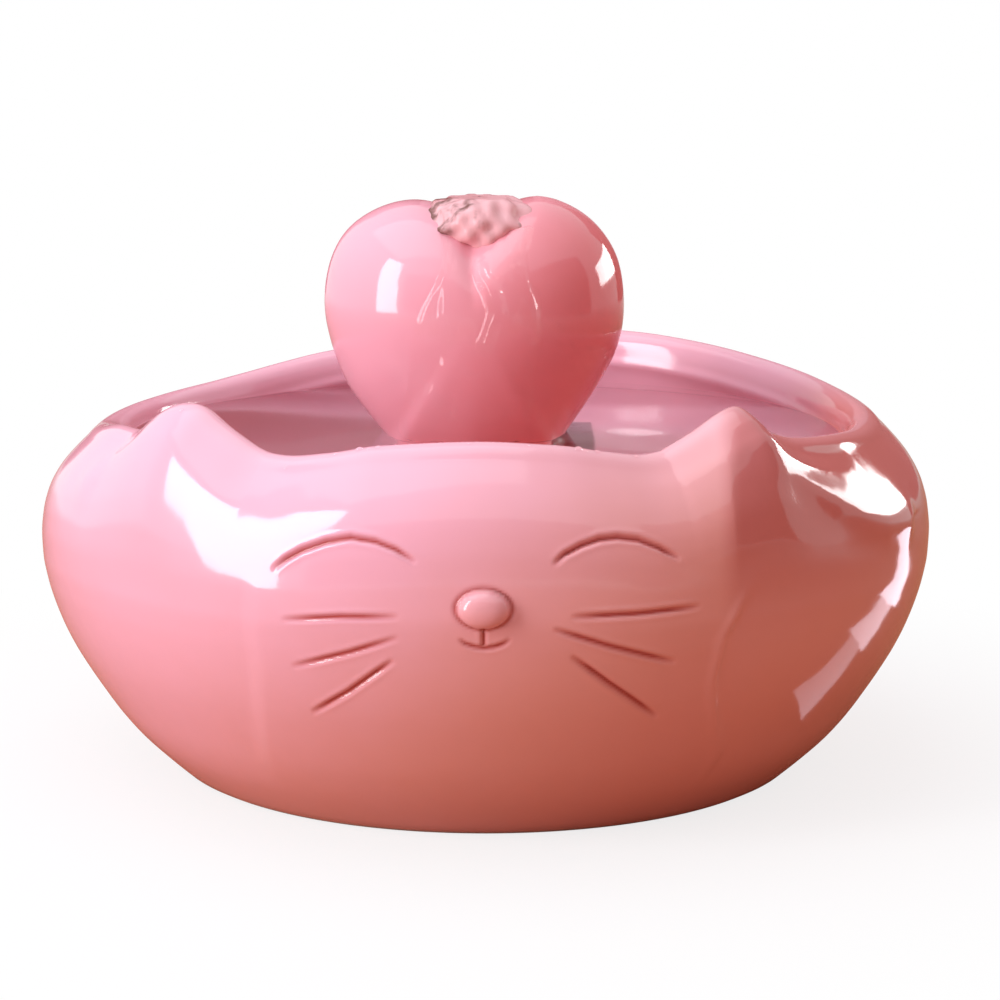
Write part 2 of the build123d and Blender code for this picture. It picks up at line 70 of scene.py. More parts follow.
class Sock:
    """A shader socket on which Python's operators add Math nodes."""

    def __init__(self, graph: "Graph", socket: bpy.types.NodeSocket) -> None:
        """Keep the graph and the socket."""
        self.graph = graph
        self.socket = socket

    def __add__(self, other: "Sock | float") -> "Sock":
        """Sum."""
        return self.graph.math("ADD", self, other)

    def __sub__(self, other: "Sock | float") -> "Sock":
        """Difference."""
        return self.graph.math("SUBTRACT", self, other)

    def __rsub__(self, other: "Sock | float") -> "Sock":
        """Difference from a value on the left."""
        return self.graph.math("SUBTRACT", other, self)

    def __mul__(self, other: "Sock | float") -> "Sock":
        """Product."""
        return self.graph.math("MULTIPLY", self, other)

    __radd__ = __add__
    __rmul__ = __mul__

    def step(self, low: float, high: float) -> "Sock":
        """Smooth step.

        Args:
            low: the value at which it leaves 0.
            high: the value at which it reaches 1.

        Returns:
            The step's value.
        """
        inputs = {"Value": self, "From Min": low, "From Max": high}
        node = self.graph.node("ShaderNodeMapRange", {"interpolation_type": "SMOOTHSTEP"}, inputs)
        return Sock(self.graph, node.outputs[0])


class Graph:
    """Node graph of one material or of the world."""

    def __init__(self, tree: bpy.types.NodeTree) -> None:
        """Start an empty graph."""
        tree.nodes.clear()
        self.tree = tree

    def node(
        self,
        kind: str,
        settings: Mapping[str, object] | None = None,
        inputs: Mapping[str | int, object] | None = None,
    ) -> bpy.types.Node:
        """Add a node.

        Args:
            kind: the node's type.
            settings: its properties, which are set first.
            inputs: a value or a Sock for each socket, by name or number.

        Returns:
            The node.
        """
        made = self.tree.nodes.new(kind)
        for name, value in (settings or {}).items():
            setattr(made, name, value)
        for key, value in (inputs or {}).items():
            if isinstance(value, Sock):
                self.tree.links.new(value.socket, made.inputs[key])
            else:
                made.inputs[key].default_value = value
        return made

    def math(self, operation: str, *values: "Sock | float") -> Sock:
        """Math node on two values."""
        node = self.node("ShaderNodeMath", {"operation": operation}, dict(enumerate(values)))
        return Sock(self, node.outputs[0])

    def mix(self, low: "Sock | Colour", high: "Sock | Colour", factor: "Sock | float") -> Sock:
        """Mix of two colours.

        Args:
            low: the colour at factor 0.
            high: the colour at factor 1.
            factor: the share of the second colour.

        Returns:
            The mixed colour.
        """
        ends = [v if isinstance(v, Sock) else (*v, 1.0) for v in (low, high)]
        inputs = {0: factor, 6: ends[0], 7: ends[1]}
        node = self.node("ShaderNodeMix", {"data_type": "RGBA"}, inputs)
        return Sock(self, node.outputs[2])

    def place(self, stretch: Place = (1.0, 1.0, 1.0)) -> Sock:
        """Place on the object.

        Args:
            stretch: the factor along each axis.

        Returns:
            The place, in metres.
        """
        coords = self.node("ShaderNodeTexCoord")
        inputs = {0: Sock(self, coords.outputs["Object"]), 1: stretch}
        scaled = self.node("ShaderNodeVectorMath", {"operation": "MULTIPLY"}, inputs)
        return Sock(self, scaled.outputs[0])

    def axis(self, name: str) -> Sock:
        """One coordinate of the place on the object, in metres."""
        split = self.node("ShaderNodeSeparateXYZ", inputs={0: self.place()})
        return Sock(self, split.outputs[name])

    def noise(self, scale: float, detail: float = 2.0, place: Sock | None = None) -> Sock:
        """Noise between 0 and 1, with its scale per metre."""
        inputs = {"Vector": place or self.place(), "Scale": scale, "Detail": detail}
        return Sock(self, self.node("ShaderNodeTexNoise", inputs=inputs).outputs[0])

    def cells(self, scale: float, place: Sock | None = None) -> Sock:
        """Distance to the nearest point of a Voronoi pattern."""
        inputs = {"Vector": place or self.place(), "Scale": scale}
        return Sock(self, self.node("ShaderNodeTexVoronoi", inputs=inputs).outputs[0])

    def bands(self, axis: str, pitch: float) -> Sock:
        """Even bands.

        Args:
            axis: the axis that they follow each other along.
            pitch: the distance from one to the next, in millimetres.

        Returns:
            Their height, from 0 to 1.
        """
        inputs = {"Vector": self.place(), "Scale": 2 * math.pi / (WAVE_RADIANS * pitch * MM)}
        settings = {"wave_type": "BANDS", "bands_direction": axis}
        return Sock(self, self.node("ShaderNodeTexWave", settings, inputs).outputs[1])

    def painted(self, name: str) -> Sock:
        """Value that the mesh holds at each point under this name."""
        node = self.node("ShaderNodeAttribute", {"attribute_name": name})
        return Sock(self, node.outputs["Fac"])

    def bump(self, height: Sock, distance: float) -> Sock:
        """Normal of a bumpy surface, with its distance in millimetres."""
        inputs = {"Height": height, "Distance": distance * MM, "Strength": 1.0}
        return Sock(self, self.node("ShaderNodeBump", inputs=inputs).outputs[0])

    def principled(self, inputs: Mapping[str, object]) -> Sock:
        """Principled shader."""
        node = self.node("ShaderNodeBsdfPrincipled", inputs=inputs)
        return Sock(self, node.outputs[0])

    def surface(self, shader: Sock) -> None:
        """Send a shader to the output."""
        self.node("ShaderNodeOutputMaterial", inputs={"Surface": shader})


# ---------------------------------------------------------------- finishes


@dataclass(frozen=True)
class Finish:
    """A finish: what its shader is made of, under a name."""

    name: str

    def shader(self, graph: Graph) -> Sock:
        """Shader of the finish.

        Args:
            graph: the graph that takes the nodes.

        Returns:
            The shader's output.
        """
        raise NotImplementedError

    def material(self) -> bpy.types.Material:
        """The finish's material, made once.

        Returns:
            The material, under a name that no material of the CAD has.
        """
        name = f"{self.name}_look"
        made = bpy.data.materials.get(name)
        if made is None:
            made = bpy.data.materials.new(name)
            made.use_nodes = True
            graph = Graph(made.node_tree)
            graph.surface(self.shader(graph))
        return made


@dataclass(frozen=True)
class Glaze(Finish):
    """High-gloss glaze that pools darker in hollows and breaks lighter over edges, with painted shade:
    darker towards +X and downwards, and over the right ear.
    """

    # light and deep: the glaze's colour on its lit side and on its shaded side, mixed by position as
    # painted light and shade
    light: Colour
    deep: Colour
    # dark tone where glaze pools in the lines, also used as painted shade over the right ear
    pooled_and_shaded: Colour
    thin: Colour
    painted_shade_slope: Place = (7.0, -10.0, 0.95)  # painted shade: growth of the deep, shaded tone along X and Z, and where it starts
    painted_shade_span: Span = (-0.25, 0.75)
    back: Span = (0.0, 0.06)  # where the painted shade fades out along Y, so the back of the inside stays lighter
    # where the right ear gets painted shade, along X and Z
    ear_shade_x: Span = (0.054, 0.061)
    ear_shade_z: Span = (0.048, 0.085)
    ear_shade_share: float = 0.6  # share of the dark pooling tone painted over the right ear as shade
    thin_share: float = 0.25
    clay: Colour = (0.72, 0.60, 0.52)
    roughness: float = 0.075
    bare_roughness: float = 0.75
    ior: float = 1.52
    peel: float = 0.05  # height of the glaze's slight waves, in millimetres
    cloud_scale: float = 16.0
    mottle_scale: float = 85.0
    peel_scale: float = 140.0
    grit_scale: float = 900.0

    def tone(self, graph: Graph, mottle: Sock) -> tuple[Sock, Sock]:
        """Share of the deep tone, which is painted shade by position plus random clouding, and of the
        front.

        Args:
            graph: the graph that takes the nodes.
            mottle: the glaze's fine noise.

        Returns:
            The two shares, from 0 to 1.
        """
        # painted shade: the deep tone grows towards +X and downwards, and less at the back
        across, up, start = self.painted_shade_slope
        warm = (graph.axis("X") * across + graph.axis("Z") * up + start).step(*self.painted_shade_span)
        front = 1 - graph.axis("Y").step(*self.back) * 0.9
        cloud = graph.noise(self.cloud_scale, 1.0)
        return (warm * front * 0.75 + cloud * 0.3 + mottle * 0.12 - 0.12).step(0.0, 1.0), front

    def shader(self, graph: Graph) -> Sock:
        """Glaze over fine clay, bare where the mesh says so.

        Args:
            graph: the graph that takes the nodes.

        Returns:
            The shader's output.
        """
        mottle = graph.noise(self.mottle_scale, 3.0)
        tone, front = self.tone(graph, mottle)
        colour = graph.mix(self.light, self.deep, tone)
        # painted shade over the front of the right ear, in the dark pooling tone
        ear = graph.axis("X").step(*self.ear_shade_x) * graph.axis("Z").step(*self.ear_shade_z)
        colour = graph.mix(colour, self.pooled_and_shaded, ear * front * self.ear_shade_share)
        colour = graph.mix(colour, self.pooled_and_shaded, graph.painted("pool"))
        colour = graph.mix(colour, self.thin, graph.painted("edge") * self.thin_share)
        bare = graph.painted("bare")
        grit = graph.noise(self.grit_scale, 4.0)
        colour = graph.mix(colour, graph.mix(self.clay, self.pooled_and_shaded, grit * 0.2), bare)
        peel = graph.noise(self.peel_scale, 1.0) * (1 - bare) + grit * bare * 0.4
        inputs = {
            "Base Color": colour,
            "Roughness": bare * self.bare_roughness + (1 - bare) * (mottle * 0.03 + self.roughness),
            "Normal": graph.bump(peel, self.peel),
            "IOR": self.ior,
        }
        return graph.principled(inputs)


@dataclass(frozen=True)
class ClearWater(Finish):
    """Clear moving water."""

    tint: Colour = (1.0, 0.985, 0.98)
    roughness: float = 0.0
    ripple: float = 0.25
    ripple_scale: float = 60.0
    bending: float = 1.333

    def shader(self, graph: Graph) -> Sock:
        """Refracting surface that lets the lamps through to what is under it.

        Args:
            graph: the graph that takes the nodes.

        Returns:
            The shader's output.
        """
        waves = graph.noise(self.ripple_scale, 2.0)
        inputs = {
            "Base Color": (*self.tint, 1.0),
            "Roughness": self.roughness,
            "IOR": self.bending,
            "Transmission Weight": 1.0,
            "Normal": graph.bump(waves, self.ripple),
        }
        water = graph.principled(inputs)
        rays = graph.node("ShaderNodeLightPath")
        shadow, diffuse = (Sock(graph, rays.outputs[f"Is {name} Ray"]) for name in ("Shadow", "Diffuse"))
        passing = graph.math("MAXIMUM", shadow, diffuse)
        clear = graph.node("ShaderNodeBsdfTransparent", inputs={"Color": (*self.tint, 1.0)})
        ends = {0: passing, 1: water, 2: Sock(graph, clear.outputs[0])}
        mixed = graph.node("ShaderNodeMixShader", inputs=ends)
        return Sock(graph, mixed.outputs[0])


@dataclass(frozen=True)
class Froth(Finish):
    """Water that wells up, full of air, with dark gaps between the bubbles and painted shade towards its
    left end.
    """

    pale: Colour = (0.88, 0.50, 0.53)
    dark: Colour = (0.20, 0.08, 0.07)
    hollow_shade_slope: float = 13.0  # growth of the pale tone along X: the left end is darker, as painted shade of a hollow
    span: Span = (0.42, 0.60)

    def shader(self, graph: Graph) -> Sock:
        """Glossy lumps with pale and dark streaks, darker towards -X as painted shade.

        Args:
            graph: the graph that takes the nodes.

        Returns:
            The shader's output.
        """
        lumps = graph.noise(130.0, 3.0, graph.place((1.0, 1.0, 0.4)))
        specks = graph.noise(330.0, 2.0)
        shade = (lumps + specks * 0.3 + graph.axis("X") * self.hollow_shade_slope).step(*self.span)
        inputs = {
            "Base Color": graph.mix(self.dark, self.pale, shade),
            "Roughness": 0.22,
            "IOR": 1.333,
            "Normal": graph.bump(specks + lumps, 0.15),
        }
        return graph.principled(inputs)


@dataclass(frozen=True)
class Moulded(Finish):
    """Moulded plastic or rubber with a fine grain."""

    colour: Colour
    roughness: float = 0.45
    grain: float = 0.03
    grain_scale: float = 1400.0
    ior: float = 1.46

    def shader(self, graph: Graph) -> Sock:
        """Even colour with slight wear and a spark-eroded grain.

        Args:
            graph: the graph that takes the nodes.

        Returns:
            The shader's output.
        """
        grain = graph.noise(self.grain_scale, 3.0)
        wear = graph.noise(70.0, 3.0)
        lighter = tuple(min(1.0, c * 1.35 + 0.015) for c in self.colour)
        inputs = {
            "Base Color": graph.mix(self.colour, lighter, wear * 0.5 + grain * 0.3),
            "Roughness": wear * 0.16 + (self.roughness - 0.08),
            "Normal": graph.bump(grain, self.grain),
            "IOR": self.ior,
        }
        return graph.principled(inputs)


@dataclass(frozen=True)
class Silicone(Finish):
    """Milky silicone hose."""

    colour: Colour = (0.78, 0.80, 0.79)
    streaked: Colour = (0.62, 0.65, 0.65)

    def shader(self, graph: Graph) -> Sock:
        """Soft translucent rubber with drawn streaks.

        Args:
            graph: the graph that takes the nodes.

        Returns:
            The shader's output.
        """
        streaks = graph.noise(240.0, 2.0)
        inputs = {
            "Base Color": graph.mix(self.colour, self.streaked, streaks * 0.7),
            "Roughness": streaks * 0.12 + 0.3,
            "Normal": graph.bump(streaks, 0.04),
            "Transmission Weight": 0.35,
            "IOR": 1.41,
        }
        return graph.principled(inputs)


@dataclass(frozen=True)
class Metal(Finish):
    """Metal with fine lines across one axis."""

    colour: Colour
    lines: str
    pitch: float
    roughness: float
    depth: float

    def shader(self, graph: Graph) -> Sock:
        """Metal with ground, stacked or wound lines.

        Args:
            graph: the graph that takes the nodes.

        Returns:
            The shader's output.
        """
        lines = graph.bands(self.lines, self.pitch)
        dull = graph.noise(180.0, 3.0)
        darker = tuple(c * 0.55 for c in self.colour)
        inputs = {
            "Base Color": graph.mix(darker, self.colour, lines * 0.6 + dull * 0.4),
            "Metallic": 1.0,
            "Roughness": dull * 0.2 + self.roughness,
            "Normal": graph.bump(lines, self.depth),
        }
        return graph.principled(inputs)


@dataclass(frozen=True)
class Foam(Finish):
    """Open-cell filter foam."""

    colour: Colour = (0.035, 0.038, 0.04)
    # colour of the pores: painted shade in the foam's hollows
    hollow: Colour = (0.006, 0.006, 0.007)

    def shader(self, graph: Graph) -> Sock:
        """Dark cells with lighter struts: the pores are painted darker, as painted shade.

        Args:
            graph: the graph that takes the nodes.

        Returns:
            The shader's output.
        """
        cells = graph.cells(620.0)
        inputs = {
            "Base Color": graph.mix(self.hollow, self.colour, cells * 1.4),
            "Roughness": 0.95,
            "Normal": graph.bump(cells, 0.6),
        }
        return graph.principled(inputs)


@dataclass(frozen=True)
class Resin(Finish):
    """Poured potting resin."""

    colour: Colour = (0.42, 0.29, 0.14)
    swirled: Colour = (0.26, 0.17, 0.08)

    def shader(self, graph: Graph) -> Sock:
        """Tan resin with swirls and a poured skin.

        Args:
            graph: the graph that takes the nodes.

        Returns:
            The shader's output.
        """
        swirl = graph.noise(60.0, 4.0)
        inputs = {
            "Base Color": graph.mix(self.colour, self.swirled, swirl),
            "Roughness": swirl * 0.2 + 0.18,
            "Normal": graph.bump(graph.noise(45.0, 1.0), 0.5),
        }
        return graph.principled(inputs)


# light and deep in both glazes are lit and shaded colours: painted light and shade
BOWL_GLAZE = Glaze(
    "bowl_glaze",
    light=(0.90, 0.47, 0.60),
    deep=(0.82, 0.37, 0.315),
    pooled_and_shaded=(0.50, 0.075, 0.065),
    thin=(0.92, 0.54, 0.60),
)
HEART_GLAZE = Glaze(
    "heart_glaze",
    light=(0.92, 0.45, 0.55),
    deep=(0.90, 0.24, 0.26),
    pooled_and_shaded=(0.46, 0.05, 0.055),
    thin=(0.92, 0.44, 0.46),
    # painted shade on the heart: deep tone towards +X and downwards
    painted_shade_slope=(14.0, -7.0, 1.10),
)
POOL_WATER = ClearWater("pool_water", roughness=0.10, ripple=0.008, ripple_scale=40.0, bending=1.26)
RUNNING_WATER = ClearWater("running_water", ripple=0.10, ripple_scale=140.0)
DROP_WATER = ClearWater("drop_water", ripple=0.0)

NODE_FINISHES: dict[str, Finish] = {
    "riser_tube": Silicone("silicone_hose"),
    "pump_housing": Moulded("pump_case", (0.030, 0.034, 0.033)),
    "chamber_cover": Moulded("pump_cover", (0.034, 0.038, 0.037), 0.5),
    "intake_cover": Moulded("intake_case", (0.032, 0.036, 0.035), 0.42),
    "outlet_nozzle": Moulded("nozzle_plastic", (0.030, 0.034, 0.033), 0.4),
    "chamber_seal": Moulded("seal_rubber", (0.012, 0.012, 0.012), 0.6),
    **dict.fromkeys(("front_bush", "rear_bush"), Moulded("bush_rubber", (0.02, 0.02, 0.02), 0.65)),
    "cable_gland": Moulded("gland_rubber", (0.016, 0.016, 0.016), 0.6, 0.05, 900.0),
    "rotor_shaft": Metal("ground_steel", (0.70, 0.70, 0.72), "X", 0.6283, 0.14, 0.01),
    "rotor_magnet": Moulded("bonded_ferrite", (0.07, 0.07, 0.075), 0.5, 0.06, 2200.0, 1.8),
    "impeller": Moulded("impeller_plastic", (0.80, 0.80, 0.77), 0.3),
    "stator_core": Metal("laminated_steel", (0.44, 0.45, 0.47), "Y", 1.5708, 0.34, 0.08),
    "coil_bobbin": Moulded("bobbin_plastic", (0.66, 0.62, 0.50), 0.4),
    "coil_winding": Metal("enamelled_copper", (0.72, 0.27, 0.11), "Z", 1.0996, 0.22, 0.1),
    "potting_resin": Resin("potting_resin"),
    "intake_foam": Foam("filter_foam"),
    "flow_slider": Moulded("slider_plastic", (0.03, 0.12, 0.32), 0.35),
    **dict.fromkeys(
        (f"suction_cup_{number}" for number in range(1, 5)),
        Moulded("cup_rubber", (0.02, 0.02, 0.021), 0.38, 0.02, 700.0),
    ),
}


# ---------------------------------------------------------------- meshes


def smooth_curve(places: Sequence[float], values: Sequence[float], at: np.ndarray) -> np.ndarray:
    """Monotone cubic through knots.

    Args:
        places: the knots' places, rising.
        values: their values.
        at: where it is wanted.

    Returns:
        The values there.
    """
    x, y = np.asarray(places, float), np.asarray(values, float)
    slope = np.diff(y) / np.diff(x)
    tangent = np.zeros_like(y)
    same = slope[:-1] * slope[1:] > 0
    pair = slope[:-1] + slope[1:]
    tangent[1:-1][same] = 2 * slope[:-1][same] * slope[1:][same] / pair[same]
    tangent[0], tangent[-1] = slope[0], slope[-1]
    part = np.clip(np.searchsorted(x, at) - 1, 0, len(x) - 2)
    span = x[part + 1] - x[part]
    t = np.clip((at - x[part]) / span, 0, 1)
    start = y[part] * (1 + 2 * t) * (1 - t) ** 2 + y[part + 1] * t * t * (3 - 2 * t)
    return start + span * t * (1 - t) * (tangent[part] * (1 - t) - tangent[part + 1] * t)


def through(knots: np.ndarray, counts: Sequence[int]) -> np.ndarray:
    """Catmull-Rom rows through rows of knots.

    Args:
        knots: an array of knots by columns by coordinates.
        counts: how many rows each span between knots gets.

    Returns:
        The rows, without the last knot.
    """
    ends = np.concatenate([2 * knots[:1] - knots[1:2], knots, 2 * knots[-1:] - knots[-2:-1]])
    rows = []
    for span, count in enumerate(counts):
        a, b, c, d = ends[span : span + 4]
        for t in np.arange(count) / count:
            bend, twist = 2 * a - 5 * b + 4 * c - d, 3 * b - a - 3 * c + d
            rows.append(0.5 * (2 * b + (c - a) * t + bend * t**2 + twist * t**3))
    return np.array(rows)


def make_mesh(name: str, points: np.ndarray, faces: Iterable[Sequence[int]]) -> bpy.types.Object:
    """Object from points in millimetres, smooth all over.

    Args:
        name: the object's name.
        points: its points.
        faces: its faces.

    Returns:
        The object, in the scene.
    """
    mesh = bpy.data.meshes.new(name)
    mesh.from_pydata((points * MM).tolist(), [], [tuple(int(i) for i in f) for f in faces])
    mesh.validate()
    mesh.polygons.foreach_set("use_smooth", [True] * len(mesh.polygons))
    made = bpy.data.objects.new(name, mesh)
    bpy.context.scene.collection.objects.link(made)
    return made


def paint(made: bpy.types.Object, name: str, values: np.ndarray) -> None:
    """Give a mesh a value at each point, under a name."""
    layer = made.data.attributes.new(name, "FLOAT", "POINT")
    layer.data.foreach_set("value", np.asarray(values, np.float32))


def ring_faces(rows: int, columns: int) -> list[tuple[int, ...]]:
    """Quads of a grid whose columns close into a ring.

    Args:
        rows: how many rows of points it has.
        columns: how many points each row has.

    Returns:
        The faces.
    """
    faces = []
    for row in range(rows - 1):
        low, high = row * columns, (row + 1) * columns
        for column in range(columns):
            after = (column + 1) % columns
            faces.append((low + column, low + after, high + after, high + column))
    return faces


def fan_faces(rows: int, columns: int) -> list[tuple[int, ...]]:
    """Triangles that close such a grid's two ends.

    Args:
        rows: how many rows of points it has.
        columns: how many points each row has.

    Returns:
        The faces, about the two points that follow the grid's.
    """
    first, end = rows * columns, rows * columns + 1
    last = (rows - 1) * columns
    faces = []
    for column in range(columns):
        after = (column + 1) % columns
        faces += [(first, after, column), (end, last + column, last + after)]
    return faces


def cap_faces(rows: int, columns: int) -> list[tuple[int, ...]]:
    """Flat faces that close such a grid's two ends, without a further point."""
    last = (rows - 1) * columns
    return [tuple(range(columns))[::-1], tuple(range(last, last + columns))]


def tree_of(made: bpy.types.Object) -> BVHTree:
    """Tree of an object's mesh, for rays to hit."""
    return BVHTree.FromObject(made, bpy.context.evaluated_depsgraph_get())


def apply_modifiers(made: bpy.types.Object) -> None:
    """Turn an object's modifiers into its mesh.

    Args:
        made: the object, which keeps no modifier.
    """
    shaped = bpy.data.meshes.new_from_object(made.evaluated_get(bpy.context.evaluated_depsgraph_get()))
    made.modifiers.clear()
    made.data = shaped


def distance_to(points: Points, x: np.ndarray, z: np.ndarray) -> tuple[np.ndarray, np.ndarray]:
    """Distance from places to a polyline.

    Args:
        points: the polyline.
        x: the places' first coordinate.
        z: their second coordinate.

    Returns:
        The distances, and how far along the line each nearest point is, from 0 to 1.
    """
    line = np.asarray(points, float)
    steps = np.hypot(*np.diff(line, axis=0).T)
    reached = np.concatenate([[0], np.cumsum(steps)])
    best, along = np.full(x.shape, 1e9), np.zeros(x.shape)
    for (ax, az), (bx, bz), step, start in zip(line[:-1], line[1:], steps, reached):
        t = np.clip(((x - ax) * (bx - ax) + (z - az) * (bz - az)) / step**2, 0, 1)
        away = np.hypot(x - ax - t * (bx - ax), z - az - t * (bz - az))
        nearer = away < best
        best[nearer] = away[nearer]
        along[nearer] = (start + t * step)[nearer] / reached[-1]
    return best, along


def step_between(low: float, high: float, value: np.ndarray) -> np.ndarray:
    """Smooth step of a value, from 0 at low to 1 at high."""
    t = np.clip((value - low) / (high - low), 0, 1)
    return t * t * (3 - 2 * t)


def hump(away: np.ndarray, width: float | np.ndarray) -> np.ndarray:
    """Bell curve: 1 at 0, and about a third at its width."""
    return np.exp(-((away / width) ** 2))


def turn_at(line: Points, z: np.ndarray) -> np.ndarray:
    """Angle of a line at each height.

    Args:
        line: its points, as angle and height.
        z: the heights.

    Returns:
        The angles.
    """
    turns, heights = zip(*sorted(line, key=lambda point: point[1]))
    return smooth_curve(heights, turns, z)


# ---------------------------------------------------------------- bowl


@dataclass(frozen=True)
class Stroke:
    """Incised line of the face, through places given in degrees and millimetres."""

    points: Points
    width: float = 0.6
    depth: float = 0.95
    fade: float = 0.12  # share of its length over which each end fades


@dataclass
class FaceRelief:
    """What is drawn and raised on the outside of the bowl."""

    arc: float = 2.06  # millimetres of the belly in one degree
    eyes: tuple[Stroke, ...] = (
        Stroke(((-25.0, 71.8), (-23.5, 74.4), (-21.5, 76.8), (-18.5, 79.2), (-15.6, 80.5), (-12.6, 79.9),
                (-10.2, 78.3), (-7.8, 75.5)), 0.6, 1.1),
        Stroke(((7.6, 75.0), (8.9, 77.2), (10.9, 79.1), (13.1, 80.3), (15.3, 80.5), (17.8, 79.6),
                (20.2, 77.5), (22.6, 74.6)), 0.6, 1.1),
    )
    whiskers: tuple[Stroke, ...] = (
        Stroke(((-23.8, 60.3), (-16.6, 62.0), (-9.7, 62.7)), 0.6, 0.8, 0.3),
        Stroke(((-23.1, 48.7), (-15.7, 53.4), (-9.8, 57.8)), 0.6, 0.8, 0.3),
        Stroke(((-21.7, 36.6), (-16.3, 43.3), (-10.5, 52.1)), 0.6, 0.9, 0.2),
        Stroke(((9.6, 62.7), (17.6, 62.6), (25.1, 63.2)), 0.6, 0.9, 0.25),
        Stroke(((7.6, 60.0), (14.3, 55.1), (22.5, 49.9)), 0.6, 0.95, 0.2),
        Stroke(((9.8, 53.2), (14.8, 45.4), (21.5, 35.6)), 0.65, 1.0, 0.2),
    )
    mouth: tuple[Stroke, ...] = (
        Stroke(((-3.0, 57.9), (-2.3, 56.6), (-1.2, 55.8), (-0.1, 55.5), (1.0, 55.8), (2.1, 56.6),
                (2.8, 57.9)), 0.5, 0.7, 0.2),
        Stroke(((-0.2, 60.8), (-0.2, 56.0)), 0.5, 0.7, 0.05),
    )
    lined_turn: float = 30.0  # the lines stay within this angle of the front
    lined_z: Span = (28.0, 90.0)
    lip_away: float = 1.9  # line widths from a line to the lip beside it
    lip_share: float = 0.16  # of the line's depth
    nose_at: Span = (-0.2, 64.9)
    nose_half: Span = (6.1, 4.5)
    nose_out: float = 3.6
    seat_at: float = 1.08  # nose sizes from its middle to the dark line round it
    seat_width: float = 0.09
    seat_depth: float = 0.35
    seat_pool: float = 0.8
    panel_left: Points = ((-28.1, 66.0), (-28.0, 51.5), (-29.3, 37.9), (-31.1, 26.0), (-33.8, 12.0))
    panel_right: Points = (
        (31.8, 66.8), (30.2, 61.2), (28.5, 54.0), (28.2, 44.9), (29.6, 35.0), (33.6, 22.0),
    )
    panel_low: Span = (10.0, 26.0)
    panel_high: Span = (58.0, 72.0)
    panel_edges: Span = (1.6, 1.2)  # degrees over which its left and right edges rise
    panel_out: float = 0.6
    panel_bead: float = 0.6
    bead_width: float = 1.7
    flank_right: Points = (
        (38.1, 101.4), (40.3, 95.3), (43.8, 88.7), (48.3, 82.9), (53.4, 77.9), (57.8, 74.6), (64.2, 73.0),
    )
    flank_out: float = 1.9
    flank_widths: Span = (5.0, 8.5)  # below and above the flank's edge
    ridge_left: Points = ((-49.0, 103.0), (-53.0, 98.0), (-57.0, 92.0), (-61.0, 84.0))
    ridge_out: float = 0.8
    ridge_width: float = 5.5
    ear_ridges: tuple[tuple[Points, float, float, float], ...] = (
        (((-44.0, 72.0), (-44.4, 86.0), (-45.0, 98.0), (-45.4, 106.0)), 1.6, 14.0, 14.0),
        (((30.6, 65.9), (29.8, 73.2), (29.7, 80.3), (30.0, 87.0), (31.1, 93.5), (33.0, 99.9),
          (36.4, 107.0)), 2.3, 20.0, 13.0),
    )  # line, height, and reach to its left and right
    ear_rise: Span = (60.0, 86.0)

    def strokes(self) -> tuple[Stroke, ...]:
        """Every incised line."""
        return (*self.eyes, *self.whiskers, *self.mouth)

    def away(self, line: Points, turn: np.ndarray, z: np.ndarray) -> tuple[np.ndarray, np.ndarray]:
        """Distance from a line of the belly, and how far along it, as distance_to gives them."""
        return distance_to([(a * self.arc, b) for a, b in line], turn * self.arc, z)

    def incise(self, turn: np.ndarray, z: np.ndarray) -> tuple[np.ndarray, np.ndarray]:
        """Depth of the incised lines.

        Args:
            turn: the places' angles from the front, in degrees.
            z: their heights.

        Returns:
            The outward offset, and how deep in a line each place is, from 0 to 1.
        """
        out, pool = np.zeros(z.shape), np.zeros(z.shape)
        low, high = self.lined_z
        near = (np.abs(turn) < self.lined_turn) & (z > low) & (z < high)
        for stroke in self.strokes():
            away, along = self.away(stroke.points, turn[near], z[near])
            ends = np.clip(np.minimum(along, 1 - along) / stroke.fade, 0, 1) ** 0.7
            cut = hump(away, stroke.width) * ends
            lip = hump(away - self.lip_away * stroke.width, stroke.width) * ends
            out[near] += stroke.depth * (self.lip_share * lip - cut)
            pool[near] = np.maximum(pool[near], cut)
        return out, pool

    def raise_nose(self, turn: np.ndarray, z: np.ndarray) -> tuple[np.ndarray, np.ndarray]:
        """Bead of the nose, and the dark line round it.

        Args:
            turn: the places' angles from the front, in degrees.
            z: their heights.

        Returns:
            The outward offset, and how deep in the line each place is, from 0 to 1.
        """
        x = (turn - self.nose_at[0]) * self.arc / self.nose_half[0]
        y = (z - self.nose_at[1]) / self.nose_half[1]
        reach = np.sqrt(x * x + y * y)
        bead = np.sqrt(np.clip(1 - reach**2.4, 0, 1)) * self.nose_out
        seat = hump(reach - self.seat_at, self.seat_width)
        return bead - self.seat_depth * seat, self.seat_pool * seat

    def model(self, turn: np.ndarray, z: np.ndarray) -> np.ndarray:
        """Soft forms: the face panel, the ears' ridges and the flanks behind them.

        Args:
            turn: the places' angles from the front, in degrees.
            z: their heights.

        Returns:
            The outward offset.
        """
        from_left, from_right = turn - turn_at(self.panel_left, z), turn_at(self.panel_right, z) - turn
        strength = step_between(*self.panel_low, z) * (1 - step_between(*self.panel_high, z))
        out = self.panel_out * strength
        for edge, inward in zip(self.panel_edges, (from_left, from_right)):
            out = out * step_between(-edge, edge, inward)
        out += self.panel_bead * strength * hump(from_right * self.arc, self.bead_width)
        for line, height, to_left, to_right in self.ear_ridges:
            aside = (turn - turn_at(line, z)) * self.arc
            fall = np.exp(-np.abs(aside) / np.where(aside < 0, to_left, to_right))
            out += height * fall * step_between(*self.ear_rise, z)
        below, above = self.flank_widths
        over = z > smooth_curve(*zip(*self.flank_right), turn)
        out += self.flank_out * hump(self.away(self.flank_right, turn, z)[0], np.where(over, above, below))
        return out + self.ridge_out * hump(self.away(self.ridge_left, turn, z)[0], self.ridge_width)


